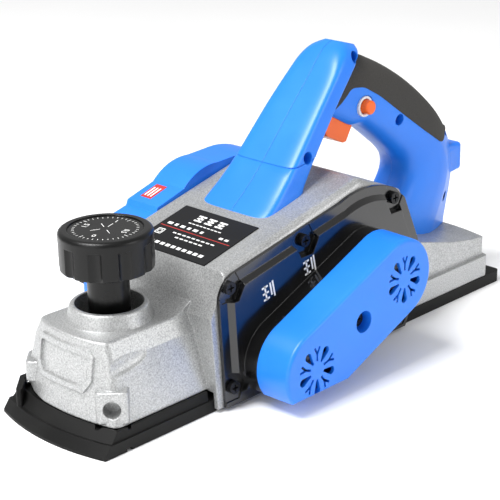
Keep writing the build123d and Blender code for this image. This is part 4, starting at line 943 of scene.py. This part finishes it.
@dataclass
class SideMarks:
    """Two plain white marks on the belt plate and a small sticker on the motor cover.

    Attributes:
        plate_marks: Places of the two marks on the plate, in x and z.
        strokes: Middle, length and height of each bar of a mark, from the mark's place.
        plate_y: The plate's outer face.
        rise_deg: How steeply the marks climb towards the rear.
        sticker: Middle of the sticker.
        sticker_tilt_deg: How far the sticker leans back.
        sticker_size: Its length and height.
        sticker_thick: Its thickness.
        bars: Middles of its three bars up the face.
        bar_x: Their middle along the face.
        bar_size: Their length and height.
        bar_lift: How far they lie above the sticker's middle.
    """

    plate_marks: tuple[Flat, ...] = ((-118.9, 61.0), (-86.5, 66.4))
    strokes: tuple[tuple[float, float, float, float], ...] = (
        (-1.6, -3.6, 4.6, 1.1), (-1.6, 0.0, 4.6, 1.1), (-1.6, 3.6, 4.6, 1.1),
        (-1.6, 0.0, 1.1, 8.6), (2.6, 0.6, 1.1, 7.4), (4.6, 0.0, 1.1, 9.4))
    plate_y: float = -50.24
    rise_deg: float = 12.0
    sticker: Vec = (-99.5, 60.0, 88.47)
    sticker_tilt_deg: float = 16.4
    sticker_size: Flat = (14.0, 9.0)
    sticker_thick: float = 0.12
    bars: Vec = (-2.2, 0.2, 2.6)
    bar_x: float = -0.6
    bar_size: Flat = (9.0, 1.1)
    bar_lift: float = 0.1

    def build(self) -> None:
        """Prints the marks and lays the sticker."""
        rise = math.radians(self.rise_deg)
        upright = Matrix.Rotation(math.pi / 2, 4, "X") @ Matrix.Rotation(rise, 4, "Z")
        white = Print("plate_marks", Matrix.Translation((0, self.plate_y, 0)) @ upright, MARK_WHITE)
        back = Matrix.Rotation(-rise, 2)
        for x, z in self.plate_marks:
            flat = back @ Vector((x, z))
            for along, up, wide, high in self.strokes:
                white.bar(flat.x + along, flat.y + up, wide, high)
        white.lay("root", "plate_black")
        tilt = Matrix.Rotation(-math.radians(self.sticker_tilt_deg), 4, "Y")
        lean = Matrix.Translation(self.sticker) @ tilt
        red = Print("cover_sticker", lean, MARK_RED, self.sticker_thick)
        red.bar(0, 0, *self.sticker_size)
        red.lay("root", "label_black")
        bars = Print("cover_sticker_bars", lean @ Matrix.Translation((0, 0, self.bar_lift)), MARK_WHITE)
        for level in self.bars:
            bars.bar(self.bar_x, level, *self.bar_size)
        bars.lay("root", "label_black")


@dataclass
class Dial:
    """Ticks and figures on the disc in the depth knob.

    Attributes:
        middle: Middle of the disc's top face.
        thick: How far the ink stands up.
        radius: Radius of the ring of ticks.
        ticks: How many ticks there are.
        long_every: Every so many ticks, one is long.
        long_tick: Length of a long tick.
        short_tick: Length of a short tick.
        tick_wide: Width of a tick.
        figures: The figures, in order round the disc.
        figure_reach: Radius of the ring of figures.
        figure_size: Their height.
        figure_turn_deg: Where the first figure stands.
        arrows_deg: Where the inner lines stand.
        arrow: Radius, length and width of the inner lines.
    """

    middle: Vec = (-186.5, 0.0, 103.02)
    thick: float = 0.08
    radius: float = 17.6
    ticks: int = 40
    long_every: int = 10
    long_tick: float = 2.8
    short_tick: float = 1.4
    tick_wide: float = 0.35
    figures: tuple[str, ...] = ("0", "0.5", "1", "1.5")
    figure_reach: float = 11.6
    figure_size: float = 4.4
    figure_turn_deg: float = 200
    arrows_deg: tuple[float, ...] = (20, 65, 155, 245)
    arrow: Vec = (5.4, 5.2, 0.4)

    def build(self) -> None:
        """Prints the scale, which turns with the knob."""
        ink = Print("dial_marks", Matrix.Translation(self.middle), MARK_WHITE, self.thick)
        for k in range(self.ticks):
            turn = math.tau * k / self.ticks
            long = self.long_tick if k % self.long_every == 0 else self.short_tick
            reach = self.radius - long / 2
            ink.bar(reach * math.cos(turn), reach * math.sin(turn), long, self.tick_wide, turn)
        for k, words in enumerate(self.figures):
            turn = math.tau * k / len(self.figures) + math.radians(self.figure_turn_deg)
            ink.text(words, self.figure_reach * math.cos(turn), self.figure_reach * math.sin(turn),
                     self.figure_size, turn - math.pi / 2)
        reach, long, wide = self.arrow
        for turn_deg in self.arrows_deg:
            turn = math.radians(turn_deg)
            ink.bar(reach * math.cos(turn), reach * math.sin(turn), long, wide, turn)
        ink.lay("knob", "knob_black")


# ---- stage --------------------------------------------------------------------------------------
@dataclass(frozen=True)
class Lamp:
    """One soft square light.

    Attributes:
        name: Its name.
        place: Where it hangs, in metres.
        power: Watts.
        size: Edge length, in metres.
    """

    name: str
    place: Vec
    power: float
    size: float


@dataclass
class Studio:
    """A pale floor, soft lights and the camera.

    Attributes:
        aim: Where the camera and the lights look, in metres.
        eye: Where the camera stands, in metres.
        lens_mm: Its focal length.
        sensor_mm: Width of its sensor.
        far: How far it sees, in metres.
        roll_deg: Its roll.
        floor_half: Half the floor's edge, in metres.
        floor_drop: How far the floor lies below the sole, in millimetres.
        lamps: The lights.
        glow: Strength of the white surroundings.
    """

    aim: Vec = (-80.2 * MM, 1.1 * MM, 61.3 * MM)
    eye: Vec = (-653.3 * MM, -569.2 * MM, 362.1 * MM)
    lens_mm: float = 108.7
    sensor_mm: float = 36.0
    far: float = 20.0
    roll_deg: float = -1.1
    floor_half: float = 3.0
    floor_drop: float = 0.2
    lamps: tuple[Lamp, ...] = (
        Lamp("key", (-0.75, 0.15, 1.3), 27, 0.6),
        Lamp("fill", (-1.4, -0.2, 0.6), 5, 0.9),
        Lamp("side", (0.5, -1.4, 0.6), 7, 0.7),
    )
    glow: float = 0.55

    def floor(self) -> None:
        """Lays the pale floor under the sole."""
        bm = bmesh.new()
        bmesh.ops.create_grid(bm, x_segments=1, y_segments=1, size=self.floor_half / MM)
        bmesh.ops.translate(bm, verts=bm.verts, vec=(0, 0, -self.floor_drop))
        obj = piece_from(bm, "floor", PALE_FLOOR)

    def light(self, lamp: Lamp) -> None:
        """Hangs one light that faces the object.

        Args:
            lamp: The light.
        """
        data = bpy.data.lights.new(lamp.name, "AREA")
        data.energy = lamp.power
        data.size = lamp.size
        obj = bpy.data.objects.new(lamp.name, data)
        obj.location = lamp.place
        obj.rotation_euler = (Vector(self.aim) - Vector(lamp.place)).to_track_quat("-Z", "Y").to_euler()
        bpy.context.collection.objects.link(obj)

    def camera(self) -> None:
        """Sets the camera at its viewing angle, with its small roll."""
        data = bpy.data.cameras.new("camera")
        data.lens = self.lens_mm
        data.sensor_width = self.sensor_mm
        data.clip_end = self.far
        obj = bpy.data.objects.new("camera", data)
        look = (Vector(self.aim) - Vector(self.eye)).to_track_quat("-Z", "Y").to_matrix()
        roll = Matrix.Rotation(math.radians(self.roll_deg), 3, "Z")
        obj.matrix_world = Matrix.Translation(self.eye) @ (look @ roll).to_4x4()
        bpy.context.collection.objects.link(obj)
        bpy.context.scene.camera = obj

    def build(self) -> None:
        """Makes the floor, the lights, the camera and the white surroundings."""
        self.floor()
        for lamp in self.lamps:
            self.light(lamp)
        self.camera()
        world = bpy.data.worlds.new("studio")
        world.use_nodes = True
        back = world.node_tree.nodes["Background"]
        back.inputs[0].default_value = (1, 1, 1, 1)
        back.inputs[1].default_value = self.glow
        bpy.context.scene.world = world
        bpy.context.scene.view_settings.view_transform = "Standard"


def main() -> None:
    """Loads the frame, dresses it, and sets the stage."""
    logging.basicConfig(level=logging.INFO, format="%(message)s")
    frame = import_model()
    dress_nodes(frame)
    Handle().build()
    NamePlate().build()
    SideMarks().build()
    Dial().build()
    Studio().build()


if __name__ == "__main__":
    main()
